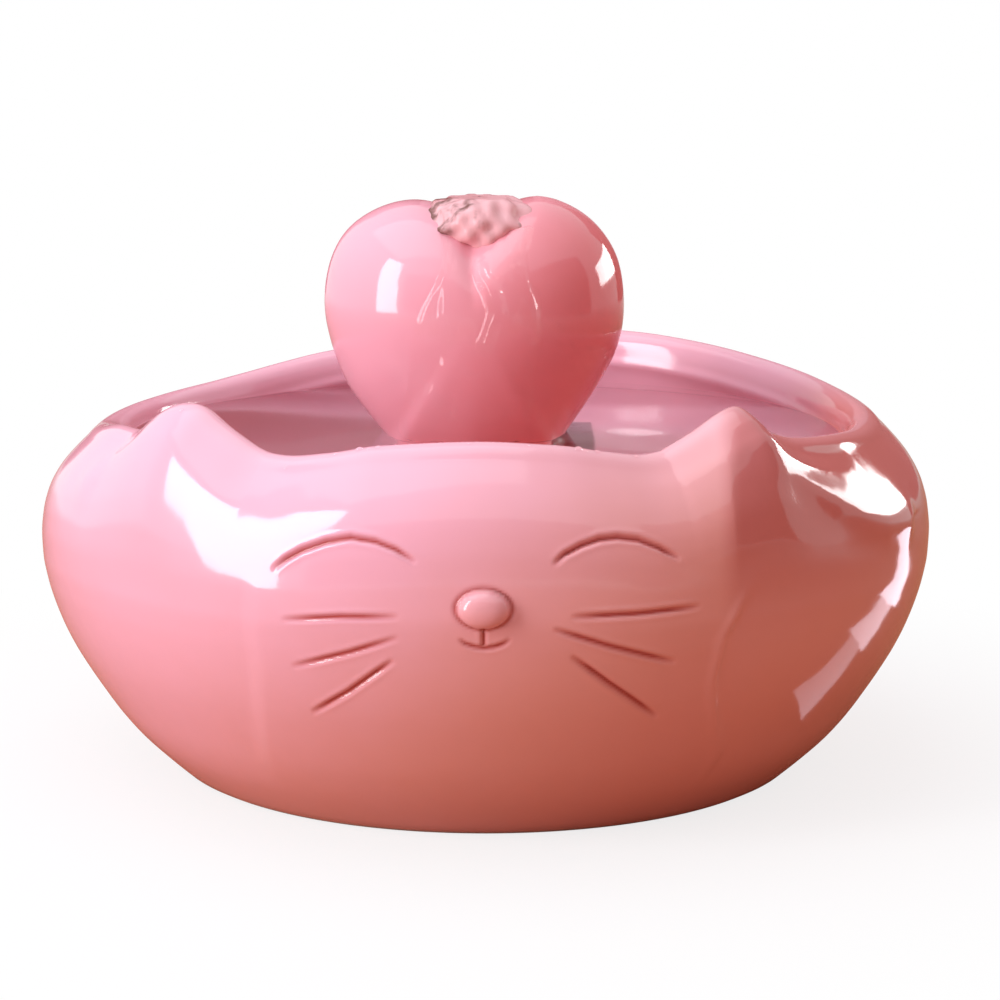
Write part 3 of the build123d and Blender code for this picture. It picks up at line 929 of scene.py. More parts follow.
@dataclass
class Bowl:
    """Ceramic bowl with two ears and the cat's face."""

    profile: tuple[float, ...] = (
        82.60, 89.21, 95.20, 99.95, 103.90, 107.59, 110.90, 113.59, 115.70,
        117.29, 118.25, 118.47, 117.90, 116.40, 113.40, 108.50, 102.30,
    )
    widest: float = 118.6
    rim: Points = (
        (-180, 102.2), (-165, 99.8), (-151.4, 97.3), (-143.9, 95.3), (-135.8, 93.3), (-126.9, 91.9),
        (-110, 90.9), (-92, 90.6), (-78, 92.8), (-65, 95.8), (-52, 96.2), (-40, 96.0), (-28.3, 95.9),
        (-22, 97.2), (-13.9, 99.7), (-0.7, 101.1), (9.75, 100.0), (16, 98.2), (21.2, 96.9), (34, 96.2),
        (46, 95.6), (58, 95.0), (71.1, 93.7), (84, 93.6), (96, 94.1), (106.9, 95.2), (119.6, 97.4),
        (129.5, 99.2), (138.2, 100.9), (146, 102.2), (153.4, 103.1), (165, 103.6), (180, 102.2),
    )
    ears: Points = (
        (-62, 0.0), (-59.5, 0.1), (-58.0, 0.4), (-55.8, 2.1), (-52.9, 5.0), (-50.7, 7.2), (-48.3, 8.9),
        (-46.2, 9.6), (-44.4, 9.7), (-42.4, 8.9), (-41.0, 7.7), (-39.4, 6.2), (-37.2, 4.4), (-34.9, 2.6),
        (-33.0, 1.2), (-30.7, 0.2), (-28.3, 0.0), (21.2, 0.0), (24.2, 0.6), (25.7, 1.7), (27.3, 3.0),
        (28.9, 4.4), (30.5, 5.8), (32.1, 7.4), (34.7, 9.6), (36.6, 10.5), (38.3, 9.4), (40.0, 6.9),
        (41.8, 4.7), (44.3, 2.8), (47.7, 1.4), (54.1, 0.4), (60, 0.0),
    )
    crest_drop: float = 3.6
    crest_r: float = 100.6
    crest_round: Points = ((3.1, -1.0), (0.0, 0.0), (-2.9, -1.3), (-4.4, -4.0))  # outward and up from it
    lip_r: float = 95.2
    lip_drop: float = 9.5  # how far under the crest the lip reaches furthest in
    lip_z: Span = (84.0, 94.0)
    wall: Points = (
        (103.5, 76.0), (108.6, 70.0), (111.2, 61.5), (109.4, 49.0), (104.4, 36.0), (97.2, 24.5),
        (88.0, 15.8), (79.0, 10.6), (71.0, 9.0), (48.0, 9.0), (20.0, 9.0),
    )  # radius and height on the inside, down to the floor
    inside_rows: tuple[int, ...] = (*[5] * 4, *[4] * 3, *[3] * 9, *[2] * 2)  # from each knot to the next
    row_shares: tuple[float, float, float] = (0.012, 0.33, 0.90)  # lowest row, and ends of the close ones
    row_counts: tuple[int, int, int] = (16, 98, 9)
    fade_shares: Span = (0.96, 1.0)  # of the height, over which the soft forms fade
    faded: float = 0.6
    stretch_from: float = 0.62  # share of the rim's height from which the ears draw the rows up
    foot_bevel: float = 0.9
    foot_radii: Span = (40.0, 74.0)
    edge_width: float = 1.6  # of the thin glaze below the crest
    edge_from: float = 90.0  # radius
    bare_from: float = 70.0
    face_turn: float = 31.0
    ear_turn: float = 76.0
    face_step: float = 0.27
    ear_step: float = 0.85
    back_step: float = 1.9
    relief: FaceRelief = field(default_factory=FaceRelief)

    def turns(self) -> np.ndarray:
        """Angles of the mesh's columns, close together on the face.

        Returns:
            The angles from the front, in degrees, all the way round.
        """
        face = np.arange(-self.face_turn, self.face_turn, self.face_step)
        right = np.arange(self.face_turn, self.ear_turn, self.ear_step)
        back = np.arange(self.ear_turn, 360 - self.ear_turn, self.back_step)
        left = np.arange(-self.ear_turn, -self.face_turn, self.ear_step)
        return np.concatenate([left, face, right, back])

    def rim_height(self, turn: np.ndarray) -> tuple[np.ndarray, np.ndarray]:
        """Height of the rim.

        Args:
            turn: the angles from the front, in degrees.

        Returns:
            The height without the ears, and with them.
        """
        wrapped = (turn + 180) % 360 - 180
        rim = smooth_curve(*zip(*self.rim), wrapped)
        ear = smooth_curve(*zip(*self.ears), np.clip(wrapped, self.ears[0][0], self.ears[-1][0]))
        return rim, rim + ear

    def rows_up(self) -> np.ndarray:
        """Rows of the outer side.

        Returns:
            The shares of its height at which the mesh has them.
        """
        low, close, apart = self.row_shares
        below, face, above = self.row_counts
        parts = [(low, close, below), (close, apart, face)]
        shares = [np.linspace(*part, endpoint=False) for part in parts]
        return np.concatenate([*shares, np.linspace(apart, 1.0, above)])

    def outside(self, turn: np.ndarray) -> tuple[np.ndarray, np.ndarray]:
        """Rows of the plain outer side.

        Args:
            turn: the columns' angles from the front, in degrees.

        Returns:
            The rows' radii and heights.
        """
        rim, crest = self.rim_height(turn)
        height = rim - self.crest_drop
        plain = self.rows_up()[:, None] * height
        start = self.stretch_from * rim
        stretched = start + (plain - start) * (crest - self.crest_drop - start) / (height - start)
        z = np.where(plain < start, plain, stretched)
        knots = np.linspace(0, 1, len(self.profile))
        radius = smooth_curve(knots, self.profile, np.clip(plain / rim, 0, 1))
        return np.minimum(radius, self.widest), z

    def inside_knots(self, edge: np.ndarray, crest: np.ndarray) -> np.ndarray:
        """Knots over the crest, down the lip and along the inside to the floor's middle.

        Args:
            edge: radius and height of the outer side's last row.
            crest: the rim's height in each column.

        Returns:
            An array of knots by columns by radius and height.
        """
        lip = np.clip(crest - self.lip_drop, *self.lip_z)
        rounded = [(self.crest_r + out, crest + up) for out, up in self.crest_round]
        above, below = (self.lip_r + 0.45, (rounded[-1][1] + lip) / 2), (self.lip_r + 2.6, lip - 4.0)
        pairs = [(edge[:, 0], edge[:, 1]), *rounded, above, (self.lip_r, lip), below, *self.wall]
        return np.array([np.stack([np.broadcast_to(v, crest.shape) for v in pair], -1) for pair in pairs])

    def build(self) -> bpy.types.Object:
        """Bowl's mesh, with its finish.

        Returns:
            The bowl, riding on the base in place of its solid.
        """
        turn = self.turns()
        radius, z = self.outside(turn)
        _, crest = self.rim_height(turn)
        relief, pool = self._relief(np.broadcast_to(turn, z.shape), z)
        slope = np.gradient(radius, axis=0) / np.maximum(np.gradient(z, axis=0), 1e-6)
        across = 1 / np.sqrt(1 + slope**2)
        outer = np.stack([radius + relief * across, z - relief * across * slope], -1)
        foot, bevel = self.profile[0], self.foot_bevel
        under = [*((r, 0.0) for r in (*self.foot_radii, foot - bevel)), (foot - bevel * 0.3, bevel * 0.35)]
        under_rows = np.array([np.full((len(turn), 2), pair) for pair in under])
        knots = self.inside_knots(outer[-1], crest)
        rows = np.concatenate([under_rows, outer[:-1], through(knots, self.inside_rows), knots[-1:]])
        flat = rows.reshape(-1, 2)
        where = np.tile(np.radians(turn), len(rows))
        points = np.stack([flat[:, 0] * np.sin(where), -flat[:, 0] * np.cos(where), flat[:, 1]], -1)
        middle = np.array([[0, 0, 0.0], [0, 0, flat[-1, 1]]])
        grid = len(rows), len(turn)
        made = make_mesh("cat_bowl", np.concatenate([points, middle]), ring_faces(*grid) + fan_faces(*grid))
        self._paint(made, rows, len(under_rows), pool, crest)
        made.data.materials.append(BOWL_GLAZE.material())
        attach(made, Body.BASE.value)
        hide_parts("bowl")
        return made

    def _relief(self, turn: np.ndarray, z: np.ndarray) -> tuple[np.ndarray, np.ndarray]:
        """Relief of the outer side.

        Args:
            turn: the places' angles from the front, in degrees.
            z: their heights.

        Returns:
            The outward offset, and where glaze pools, from 0 to 1.
        """
        lines, pool = self.relief.incise(turn, z)
        nose, seat = self.relief.raise_nose(turn, z)
        fade = 1 - self.faded * step_between(*self.fade_shares, self.rows_up())[:, None]
        return lines + nose + self.relief.model(turn, z) * fade, np.maximum(pool, seat)

    def _paint(
        self, made: bpy.types.Object, rows: np.ndarray, below: int, pool: np.ndarray, crest: np.ndarray
    ) -> None:
        """Say where the glaze pools, thins out and stops.

        Args:
            made: the bowl.
            rows: its rows of radius and height.
            below: how many of them are on its underside.
            pool: where glaze pools on the outer side.
            crest: the rim's height in each column.
        """
        pools = np.zeros(rows.shape[:2])
        pools[below : below + len(pool) - 1] = pool[:-1]
        edge = hump(crest - rows[..., 1], self.edge_width) * (rows[..., 0] > self.edge_from)
        bare = ((rows[..., 1] < 0.5) & (rows[..., 0] > self.bare_from)).astype(float)
        ends = np.zeros(2)
        for name, values in (("pool", pools), ("edge", edge), ("bare", bare)):
            paint(made, name, np.concatenate([values.ravel(), ends]))


# ---------------------------------------------------------------- heart


@dataclass
class HeartSpout:
    """Hollow heart on its column, with the mouth that the water wells out of."""

    middle: Span = (-3.0, 121.0)
    outline: Points = (
        (-4.0, 143.2), (-9.5, 147.4), (-18.5, 149.6), (-28.0, 147.6), (-36.2, 142.2), (-41.0, 134.2),
        (-42.9, 123.5), (-41.6, 113.5), (-37.6, 102.0), (-31.4, 92.8), (-26.5, 86.5), (-23.0, 80.0),
        (-3.0, 72.0), (17.4, 80.0), (21.2, 87.0), (29.1, 98.7), (35.2, 110.5), (36.9, 121.5), (35.3, 133.5),
        (30.2, 142.2), (22.8, 147.9), (13.8, 150.5), (4.5, 148.0),
    )
    half_depth: float = 31.8
    column_r: float = 21.0
    bore_r: float = 12.5
    bore_top: float = 96.0
    foot_r: float = 30.0
    foot_h: float = 12.0
    floor_z: float = 9.0
    column_top: float = 92.0
    mouth_r: float = 9.0
    cleft_z: float = 144.5
    hose_r: float = 5.9
    hose_from: float = 102.0
    notch_half: float = 6.3
    notch_top: float = 78.3
    well_z: float = 132.0  # from which the glaze pools round the mouth
    voxel: float = 0.8
    puff_rows: int = 41
    puff_steps: int = 5  # between two knots of the outline

    def puff(self) -> bpy.types.Object:
        """Heart without its column.

        Returns:
            A closed skin.
        """
        knots = np.array([*self.outline, self.outline[0]])[:, None, :] - np.array(self.middle)
        ring = through(knots, [self.puff_steps] * (len(knots) - 1))[:, 0, :]
        x, z = self.middle
        points = []
        for row in range(self.puff_rows):
            lean = math.pi * ((row + 1) / (self.puff_rows + 1) - 0.5)
            points += [(a + x, self.half_depth * math.sin(lean), b + z) for a, b in ring * math.cos(lean)]
        points += [(x, -self.half_depth, z), (x, self.half_depth, z)]
        faces = ring_faces(self.puff_rows, len(ring)) + fan_faces(self.puff_rows, len(ring))
        return make_mesh("heart_puff", np.array(points), faces)

    def turned(self, name: str, outline: Points, columns: int = 72) -> bpy.types.Object:
        """Closed solid turned about the column's middle.

        Args:
            name: the object's name.
            outline: its radii and heights.
            columns: how many points each turn has.

        Returns:
            The solid.
        """
        angle = np.arange(columns) * 2 * math.pi / columns
        points = [(r * math.cos(a) + self.middle[0], r * math.sin(a), z) for r, z in outline for a in angle]
        faces = ring_faces(len(outline), columns) + cap_faces(len(outline), columns)
        return make_mesh(name, np.array(points), faces)

    def build(self) -> bpy.types.Object:
        """Heart spout's mesh, with its finish.

        Returns:
            The spout, riding on its body in place of its solid.
        """
        made = self.puff()
        foot_top = self.floor_z + self.foot_h
        foot = (self.foot_r - 0.6, self.floor_z), (self.foot_r, self.floor_z + 0.8)
        neck = (self.column_r + 2.2, foot_top - 2.5), (self.column_r, foot_top + 3)
        join(made, self.turned("heart_column", (*foot, *neck, (self.column_r, self.column_top))))
        remesh = made.modifiers.new("skin", "REMESH")
        remesh.mode = "VOXEL"
        remesh.voxel_size = self.voxel * MM
        apply_modifiers(made)
        smooth = made.modifiers.new("smooth", "SMOOTH")
        smooth.factor, smooth.iterations = 0.5, 12
        apply_modifiers(made)
        for cutter in self.cutters():
            cut = made.modifiers.new("cut", "BOOLEAN")
            cut.operation, cut.object, cut.solver = "DIFFERENCE", cutter, "EXACT"
            apply_modifiers(made)
            bpy.data.objects.remove(cutter)
        made.name = "heart_spout_skin"
        made.data.polygons.foreach_set("use_smooth", [True] * len(made.data.polygons))
        made.data.materials.clear()
        made.data.materials.append(HEART_GLAZE.material())
        where = np.array([v.co for v in made.data.vertices]) / MM
        beside = np.hypot(where[:, 0] - self.middle[0], where[:, 1])
        paint(made, "pool", 0.7 * hump(beside, self.mouth_r) * (where[:, 2] > self.well_z))
        paint(made, "edge", np.zeros(len(where)))
        paint(made, "bare", (where[:, 2] < self.floor_z + 0.4).astype(float))
        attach(made, Body.HEART.value)
        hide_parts("heart_spout")
        return made

    def cutters(self) -> list[bpy.types.Object]:
        """Solids that hollow the spout.

        Returns:
            What cuts the column and the mouth, and what cuts the hose's notch.
        """
        low, cleft = self.floor_z - 2, self.cleft_z
        bored = (self.bore_r, low), (self.bore_r, self.bore_top), (self.hose_r, self.hose_from)
        mouth = (self.hose_r, cleft - 7), (self.mouth_r, cleft - 1), (self.mouth_r + 3, cleft + 9)
        bore = self.turned("bore", (*bored, *mouth))
        half, back = self.notch_half, self.foot_r + 2
        square = (-half, 0), (half, 0), (half, back), (-half, back)
        corners = [(self.middle[0] + a, b, c) for c in (low, self.notch_top) for a, b in square]
        faces = [(3, 2, 1, 0), (4, 5, 6, 7), (0, 1, 5, 4), (1, 2, 6, 5), (2, 3, 7, 6), (3, 0, 4, 7)]
        return [bore, make_mesh("notch", np.array(corners, float), faces)]


def join(made: bpy.types.Object, other: bpy.types.Object) -> None:
    """Add another object's mesh to one.

    Args:
        made: the object that takes it.
        other: the object that is removed afterwards.
    """
    both = bmesh.new()
    both.from_mesh(made.data)
    both.from_mesh(other.data)
    both.to_mesh(made.data)
    both.free()
    bpy.data.objects.remove(other)


# ---------------------------------------------------------------- water


@dataclass
class Water:
    """Water in the bowl, and what runs over the heart."""

    level: float = 87.7
    lap: float = 0.3  # how far the water's edge reaches into the wall
    heart_x: float = -3.0
    heart_half: Span = (24.2, 22.8)
    fillet: float = 1.6  # how far from the wall the surface climbs
    climb: float = 0.1
    rings: int = 64
    columns: int = 180
    film_x: Span = (-31.0, 21.0)
    film_z: Span = (86.5, 146.0)
    film_step: float = 0.55
    film_smoothing: int = 4
    film_facing: float = 0.12  # how far the heart has to face the front
    film_cut: float = -0.25  # thickness at which the sheet ends
    film_bead: Span = (0.84, 0.07)  # where its edge swells, and how wide, as shares of its half width
    strands: tuple[tuple[Points, float, float], ...] = (
        (((-9.4, 134.0), (-10.2, 129.0), (-10.0, 122.0), (-8.4, 115.0)), 0.7, 1.5),
        (((-1.8, 136.0), (-1.2, 133.0), (1.4, 128.0), (2.6, 123.0), (0.8, 117.5), (-1.2, 113.0)), 1.7, 1.7),
        (((2.0, 131.0), (4.2, 126.0), (4.4, 120.0)), 0.8, 1.6),
        (((7.0, 135.0), (9.6, 129.0), (11.6, 123.0), (12.2, 115.0)), 0.7, 1.6),
        (((-9.0, 112.0), (-12.5, 104.0), (-14.5, 96.0), (-15.0, 88.0)), 0.7, 2.2),
        (((-3.0, 108.0), (-6.0, 99.0), (-8.0, 88.0)), 0.6, 2.4),
        (((-13.0, 104.0), (-16.5, 96.0), (-18.5, 88.0)), 0.6, 2.0),
    )  # line, height and width
    mound_grid: tuple[int, int] = (44, 88)
    mound_half: Place = (15.8, 17.5, 8.6)
    mound_middle: Place = (-1.6, -5.5, 143.4)
    mound_top: float = 150.75

    def pool(self, skin: bpy.types.Object) -> bpy.types.Object:
        """Calm surface of the water in the bowl.

        Args:
            skin: the bowl's mesh, whose wall the water meets.

        Returns:
            The surface, riding on the base.
        """
        tree = tree_of(skin)
        angle = np.arange(self.columns) * 2 * math.pi / self.columns
        share = np.linspace(0, 1, self.rings)[:, None]
        ways = np.stack([np.cos(angle), np.sin(angle)], -1)
        start = Vector((0, 0, self.level * MM))
        reach = np.array([tree.ray_cast(start, Vector((*way, 0)))[3] / MM + self.lap for way in ways])
        inner = ways * self.heart_half + (self.heart_x, 0)
        flat = inner + (ways * reach[:, None] - inner) * share[..., None]
        x, y = flat[..., 0], flat[..., 1]
        wave = 0.02 * np.sin(x * 0.05 + y * 0.03) + 0.01 * np.sin(y * 0.08 - x * 0.03 + 1.0)
        calm = np.clip((reach - np.hypot(x, y)) / self.fillet, 0, 1)
        z = self.level + wave * calm + self.climb * (1 - calm) ** 2
        points = np.stack([x, y, z], -1).reshape(-1, 3)
        upward = [face[::-1] for face in ring_faces(self.rings, self.columns)]
        made = make_mesh("pool_surface", points, upward)
        made.data.materials.append(POOL_WATER.material())
        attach(made, Body.BASE.value)
        return made

    def film(self, heart: bpy.types.Object) -> bpy.types.Object:
        """Thin wavy sheet that runs down the front of the heart.

        Args:
            heart: the skin that it runs over.

        Returns:
            The sheet, riding on the heart.
        """
        tree = tree_of(heart)
        xs, zs = (np.arange(*ends, self.film_step) for ends in (self.film_x, self.film_z))
        x, z = np.meshgrid(xs, zs, indexing="ij")
        thick = self.thickness(x, z)
        points, faces, index = [], [], -np.ones(x.shape, int)
        front = np.full((*x.shape, 6), np.nan)
        for at in np.ndindex(x.shape):
            spot, normal, _, _ = tree.ray_cast(Vector((x[at] * MM, -0.1, z[at] * MM)), BACKWARD)
            if spot is not None and normal.y < -self.film_facing:
                front[at] = (*spot / MM, *normal)
        for _ in range(self.film_smoothing):
            around = [np.roll(front, shift, axis) for shift, axis in ((1, 0), (-1, 0), (1, 1), (-1, 1))]
            mean = np.mean(around, axis=0)
            front = np.where(np.isnan(mean), front, mean)
        for at in map(tuple, np.argwhere(~np.isnan(front[..., 0]) & (thick > self.film_cut))):
            index[at] = len(points)
            points.append(front[at][:3] + front[at][3:] * thick[at])
        for i, j in np.ndindex(x.shape[0] - 1, x.shape[1] - 1):
            corners = [index[i, j], index[i + 1, j], index[i + 1, j + 1], index[i, j + 1]]
            if min(corners) >= 0:
                faces.append(corners)
        made = make_mesh("running_film", np.array(points), faces)
        drop_loose(made)
        made.data.materials.append(RUNNING_WATER.material())
        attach(made, Body.HEART.value)
        return made

    def thickness(self, x: np.ndarray, z: np.ndarray) -> np.ndarray:
        """Thickness of the sheet.

        Args:
            x: the places across the heart.
            z: their heights.

        Returns:
            The thickness, below zero where the heart is dry.
        """
        low, top = self.film_z
        fall = (top - z) / (top - low)
        centre = 0.5 - 6.5 * fall**1.3
        half = 12.0 + 5.0 * step_between(0.1, 0.55, fall) + 0.8 * np.sin(z * 0.27)
        side = np.abs(x - centre) / half
        thick = 0.5 * (1 - side**2) + 0.5 * hump(side - self.film_bead[0], self.film_bead[1])
        wet = step_between(-0.3, 0.2, thick)
        for line, height, width in self.strands:
            away, along = distance_to(line, x, z)
            ends = np.clip(np.minimum(along, 1 - along) / 0.12, 0, 1) ** 0.5
            thick = thick + wet * 1.4 * height * hump(away, width) * ends
        thick += wet * (0.10 * np.sin(x * 0.55 + 1.8 * np.sin(z * 0.17)) + 0.05 * np.sin(x * 1.1 - z * 0.4))
        return thick

    def mound(self) -> bpy.types.Object:
        """Lumpy water that wells up in the cleft.

        Returns:
            The mound, riding on the heart.
        """
        rows, columns = self.mound_grid
        lean = (np.arange(rows) + 0.5) / rows * math.pi
        turn = np.arange(columns) * 2 * math.pi / columns
        a, b = np.meshgrid(lean, turn, indexing="ij")
        unit = np.stack([np.sin(a) * np.cos(b), np.sin(a) * np.sin(b), np.cos(a)], -1)
        lump = 0.10 * np.sin(5 * b + 3 * np.cos(3 * a)) * np.sin(a)
        lump += 0.07 * np.sin(9 * a + 2 * np.sin(4 * b)) + 0.06 * np.sin(13 * b + 7 * a) * np.sin(a)
        lump += 0.05 * np.sin(22 * unit[..., 0] + 6 * unit[..., 2])
        points = unit * self.mound_half * (1 + 0.4 * lump[..., None]) + self.mound_middle
        points[..., 2] = np.minimum(points[..., 2], self.mound_top)
        flat = points.reshape(-1, 3)
        faces = ring_faces(rows, columns) + [face[::-1] for face in cap_faces(rows, columns)]
        made = make_mesh("welling_water", flat, faces)
        made.data.materials.append(Froth("welling_froth").material())
        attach(made, Body.HEART.value)
        return made


def drop_loose(made: bpy.types.Object) -> None:
    """Remove points that no face uses.

    Args:
        made: the object whose mesh loses them.
    """
    mesh = bmesh.new()
    mesh.from_mesh(made.data)
    bmesh.ops.delete(mesh, geom=[v for v in mesh.verts if not v.link_faces], context="VERTS")
    mesh.to_mesh(made.data)
    mesh.free()


@dataclass
class Droplets:
    """Drops splashed on the front rim."""

    places: tuple[Place, ...] = (
        (-17.0, 0.9, 0.0), (-15.6, 0.6, 0.6), (-14.4, 0.7, 0.2), (12.4, 1.0, 0.2), (13.2, 0.6, 0.8),
        (15.0, 0.7, 0.0), (20.4, 0.7, 0.4), (-20.2, 0.6, 0.6), (-2.0, 0.5, 0.4), (5.5, 0.5, 0.3),
        (-26.8, 0.8, 3.2), (-45.0, 0.6, 2.6),
    )  # angle, size, and distance outward from the crest
    flatness: float = 0.6

    def build(self, bowl: Bowl, skin: bpy.types.Object) -> bpy.types.Object:
        """Flattened drops on the crest.

        Args:
            bowl: the bowl's sizes.
            skin: its mesh, which they sit on.

        Returns:
            All the drops, riding on the base.
        """
        tree = tree_of(skin)
        mesh = bmesh.new()
        for turn, size, below in self.places:
            angle = math.radians(turn)
            out = Vector((math.sin(angle), -math.cos(angle), 0))
            start = out * (bowl.crest_r + 1.2 + below) * MM + Vector((0, 0, 0.13))
            spot, normal, _, _ = tree.ray_cast(start, DOWN)
            drop = bmesh.ops.create_icosphere(mesh, subdivisions=3, radius=size * MM)["verts"]
            lie = normal.to_track_quat("Z", "Y")
            for point in drop:
                point.co.z *= self.flatness
                point.co = spot + lie @ point.co
        data = bpy.data.meshes.new("rim_drops")
        mesh.to_mesh(data)
        mesh.free()
        data.polygons.foreach_set("use_smooth", [True] * len(data.polygons))
        made = bpy.data.objects.new("rim_drops", data)
        bpy.context.scene.collection.objects.link(made)
        data.materials.append(DROP_WATER.material())
        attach(made, Body.BASE.value)
        return made


# ---------------------------------------------------------------- studio


@dataclass(frozen=True)
class FloorPaint(Finish):
    """Pale floor that takes the shadow, fades to white further off and throws a warm light back."""

    colour: Colour = (0.93, 0.93, 0.93)
    thrown: Colour = (0.50, 0.20, 0.10)
    near: float = 0.11
    far: float = 0.26
    least: float = 0.80  # share of plain white next to the object
    mirrored: Span = (0.25, 2.0)

    def shader(self, graph: Graph) -> Sock:
        """Matt floor, plain white to the camera away from the object.

        Args:
            graph: the graph that takes the nodes.

        Returns:
            The shader's output.
        """
        away = graph.node("ShaderNodeVectorMath", {"operation": "LENGTH"}, {0: graph.place()})
        distance = Sock(graph, away.outputs["Value"])
        camera, seen = seen_directly(graph)
        plain = distance.step(self.near, self.far) * (1 - self.least) + self.least
        fade = plain * camera + distance.step(*self.mirrored) * (seen - camera)
        colour = graph.mix(self.thrown, self.colour, camera)
        matt = graph.principled({"Base Color": colour, "Roughness": 0.8, "Specular IOR Level": 0.1})
        white = graph.node("ShaderNodeEmission", inputs={"Color": (1.0, 1.0, 1.0, 1.0), "Strength": 1.0})
        ends = {0: fade, 1: matt, 2: Sock(graph, white.outputs[0])}
        mixed = graph.node("ShaderNodeMixShader", inputs=ends)
        return Sock(graph, mixed.outputs[0])


def seen_directly(graph: Graph) -> tuple[Sock, Sock]:
    """Rays that show a background.

    Args:
        graph: the graph that takes the nodes.

    Returns:
        The camera rays, and they together with glossy and transmission rays.
    """
    rays = graph.node("ShaderNodeLightPath")
    names = "Camera", "Glossy", "Transmission"
    camera, gloss, glass = (Sock(graph, rays.outputs[f"Is {name} Ray"]) for name in names)
    return camera, graph.math("MAXIMUM", camera, graph.math("MAXIMUM", gloss, glass))


@dataclass(frozen=True)
class SoftBox:
    """Rectangular lamp that looks at a point."""

    name: str
    at: Place
    target: Place
    size: Span
    radiance: float
    colour: Colour
    along: Place = (0.0, 0.0, 1.0)  # way that its second side runs
    glints_only: bool = False

    def build(self) -> None:
        """Add the lamp, hidden from the camera."""
        lamp = bpy.data.lights.new(self.name, "AREA")
        lamp.shape = "RECTANGLE"
        lamp.size, lamp.size_y = self.size
        lamp.energy = self.radiance * self.size[0] * self.size[1] * math.pi
        lamp.color = self.colour
        made = bpy.data.objects.new(self.name, lamp)
        made.location = self.at
        back = (Vector(self.at) - Vector(self.target)).normalized()
        across = Vector(self.along).cross(back).normalized()
        made.rotation_euler = Matrix((across, back.cross(across), back)).transposed().to_euler()
        made.visible_camera = False
        made.visible_diffuse = not self.glints_only
        bpy.context.scene.collection.objects.link(made)


@dataclass(frozen=True)
class Card:
    """Dull card that only the gloss of the pieces shows."""

    name: str
    at: Place
    size: Span
    turn: float
    colour: Colour

    def build(self) -> None:
        """Stand the card up, turned about its upright middle line."""
        turn, half = math.radians(self.turn), self.size[0] / 2
        out = np.array([math.cos(turn), math.sin(turn), 0]) * half
        sides = (-1, 0), (1, 0), (1, self.size[1]), (-1, self.size[1])
        corners = [out * side + (0, 0, up) for side, up in sides]
        card = make_mesh(self.name, (np.array(corners) + self.at) / MM, [(0, 1, 2, 3)])
        card.data.materials.append(Moulded(self.name, self.colour, 0.9, 0.0).material())
        card.visible_camera = card.visible_diffuse = card.visible_shadow = False


def table_glow(name: str, at: Span, size: Span, radiance: float, along: Span) -> SoftBox:
    """Lamp that lies on the table and looks up, for glints alone."""
    places = (*at, 0.001), (*at, 1.0)
    return SoftBox(f"table_glow_{name}", *places, size, radiance, (0.95, 0.86, 1.0), (*along, 0.0), True)


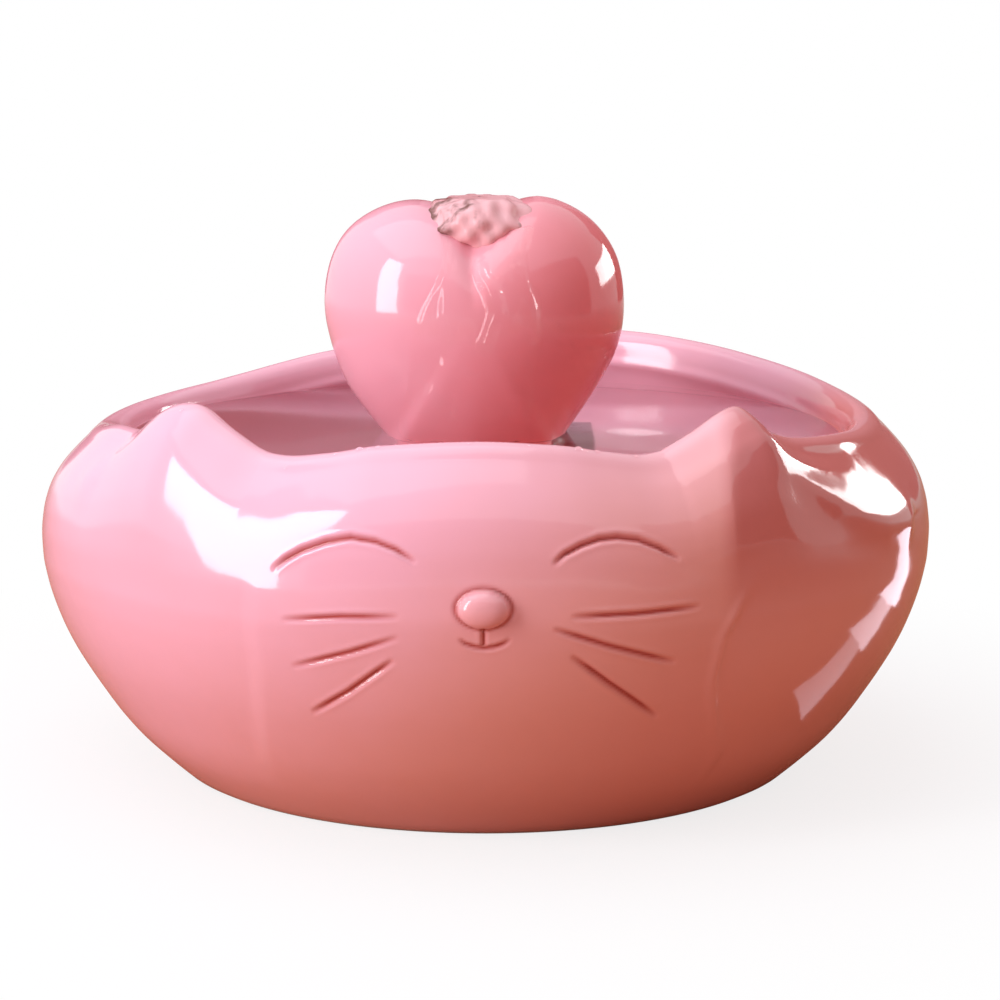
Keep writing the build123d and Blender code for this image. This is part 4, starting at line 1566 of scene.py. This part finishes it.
@dataclass
class Studio:
    """Floor, lamps, cards, world and camera."""

    camera_at: Place = (0.0, -0.7853, 0.2126)
    look_at: Place = (0.0, 0.0, 0.060)
    lens: float = 106.56
    shift: Span = (0.0145, 0.032)
    floor_half: float = 6.0
    sky_from: Place = (-0.50, -0.22, 0.84)
    sky_span: Span = (-0.45, 1.0)
    cool_sky: Colour = (0.68, 0.67, 0.76)
    warm_sky: Colour = (0.58, 0.27, 0.18)
    lamps: tuple[SoftBox, ...] = (
        SoftBox("ceiling", (-0.25, 0.0, 1.12), (0.0, 0.0, 0.1), (1.0, 1.0), 1.15, (1.0, 0.98, 1.0),
                (0.0, 1.0, 0.0)),
        SoftBox("window_left", (-1.02, -0.62, 0.60), (-0.05, -0.08, 0.60), (0.36, 1.15), 9.5,
                (0.97, 0.97, 1.0)),
        SoftBox("window_right", (1.073, 0.617, 0.375), (0.085, 0.0, 0.085), (0.82, 0.337), 10.0,
                (0.97, 1.0, 1.0), glints_only=True),
        table_glow("far", (0.268, 0.108), (0.045, 0.19), 4.5, (0.64, 0.77)),
        table_glow("mid", (0.186, 0.009), (0.030, 0.078), 2.4, (0.67, 0.74)),
        table_glow("near", (0.133, -0.037), (0.020, 0.065), 1.1, (0.84, 0.54)),
    )
    cards: tuple[Card, ...] = (
        Card("card_right", (0.95, -0.55, 0.0), (1.1, 0.9), 62.0, (0.34, 0.16, 0.11)),
        Card("card_front", (0.0, -1.70, 0.0), (3.4, 1.5), 0.0, (0.40, 0.27, 0.26)),
        Card("card_behind_left", (-0.28, 1.25, 0.0), (0.56, 0.9), 0.0, (0.46, 0.17, 0.17)),
        Card("card_behind_right", (0.18, 1.25, 0.0), (0.36, 0.9), 0.0, (0.80, 0.50, 0.56)),
        Card("card_behind_far", (0.655, 1.118, 0.0), (0.673, 0.85), -27.0, (0.60, 0.25, 0.24)),
    )

    def build(self) -> None:
        """Set the whole stage."""
        scene = bpy.context.scene
        scene.view_settings.view_transform = "Standard"
        lens = bpy.data.cameras.new("camera")
        lens.lens, lens.sensor_width = self.lens, 36.0
        lens.shift_x, lens.shift_y = self.shift
        camera = bpy.data.objects.new("camera", lens)
        camera.location = self.camera_at
        aim = Vector(self.look_at) - Vector(self.camera_at)
        camera.rotation_euler = aim.to_track_quat("-Z", "Y").to_euler()
        scene.collection.objects.link(camera)
        scene.camera = camera
        for thing in (*self.lamps, *self.cards):
            thing.build()
        self._floor()
        self._world(scene)

    def _floor(self) -> None:
        """Lay the floor."""
        half = self.floor_half / MM
        corners = (-half, -half, 0), (half, -half, 0), (half, half, 0), (-half, half, 0)
        floor = make_mesh("floor", np.array(corners), [(0, 1, 2, 3)])
        floor.data.materials.append(FloorPaint("floor_paint").material())

    def _world(self, scene: bpy.types.Scene) -> None:
        """Make the world white where it is seen, and a soft sky where it only lights.

        Args:
            scene: the scene that takes it.
        """
        world = bpy.data.worlds.new("studio")
        scene.world = world
        world.use_nodes = True
        graph = Graph(world.node_tree)
        coords = graph.node("ShaderNodeTexCoord")
        inputs = {0: Sock(graph, coords.outputs["Generated"]), 1: self.sky_from}
        facing = graph.node("ShaderNodeVectorMath", {"operation": "DOT_PRODUCT"}, inputs)
        side = Sock(graph, facing.outputs["Value"]).step(*self.sky_span)
        sky = graph.mix(self.warm_sky, self.cool_sky, side)
        _, seen = seen_directly(graph)
        colour = graph.mix(sky, (1.0, 1.0, 1.0), seen)
        back = graph.node("ShaderNodeBackground", inputs={"Color": colour, "Strength": 1.0})
        graph.node("ShaderNodeOutputWorld", inputs={"Surface": Sock(graph, back.outputs[0])})


# ---------------------------------------------------------------- the whole


def dress_nodes() -> None:
    """Give every solid that stays its finish."""
    for name, finish in NODE_FINISHES.items():
        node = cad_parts[name]
        for slot in node.material_slots:
            slot.material = finish.material()
        LOG.info("%s: %s", name, finish.name)


def main() -> None:
    """Build every piece and say so."""
    logging.basicConfig(level=logging.INFO, format="%(name)s: %(message)s")
    Studio().build()
    dress_nodes()
    bowl = Bowl()
    skin = bowl.build()
    heart = HeartSpout().build()
    water = Water()
    pieces = [skin, heart, water.pool(skin), water.film(heart), water.mound(), Droplets().build(bowl, skin)]
    for piece in pieces:
        LOG.info("%s: %d faces", piece.name, len(piece.data.polygons))


if __name__ == "__main__":
    main()
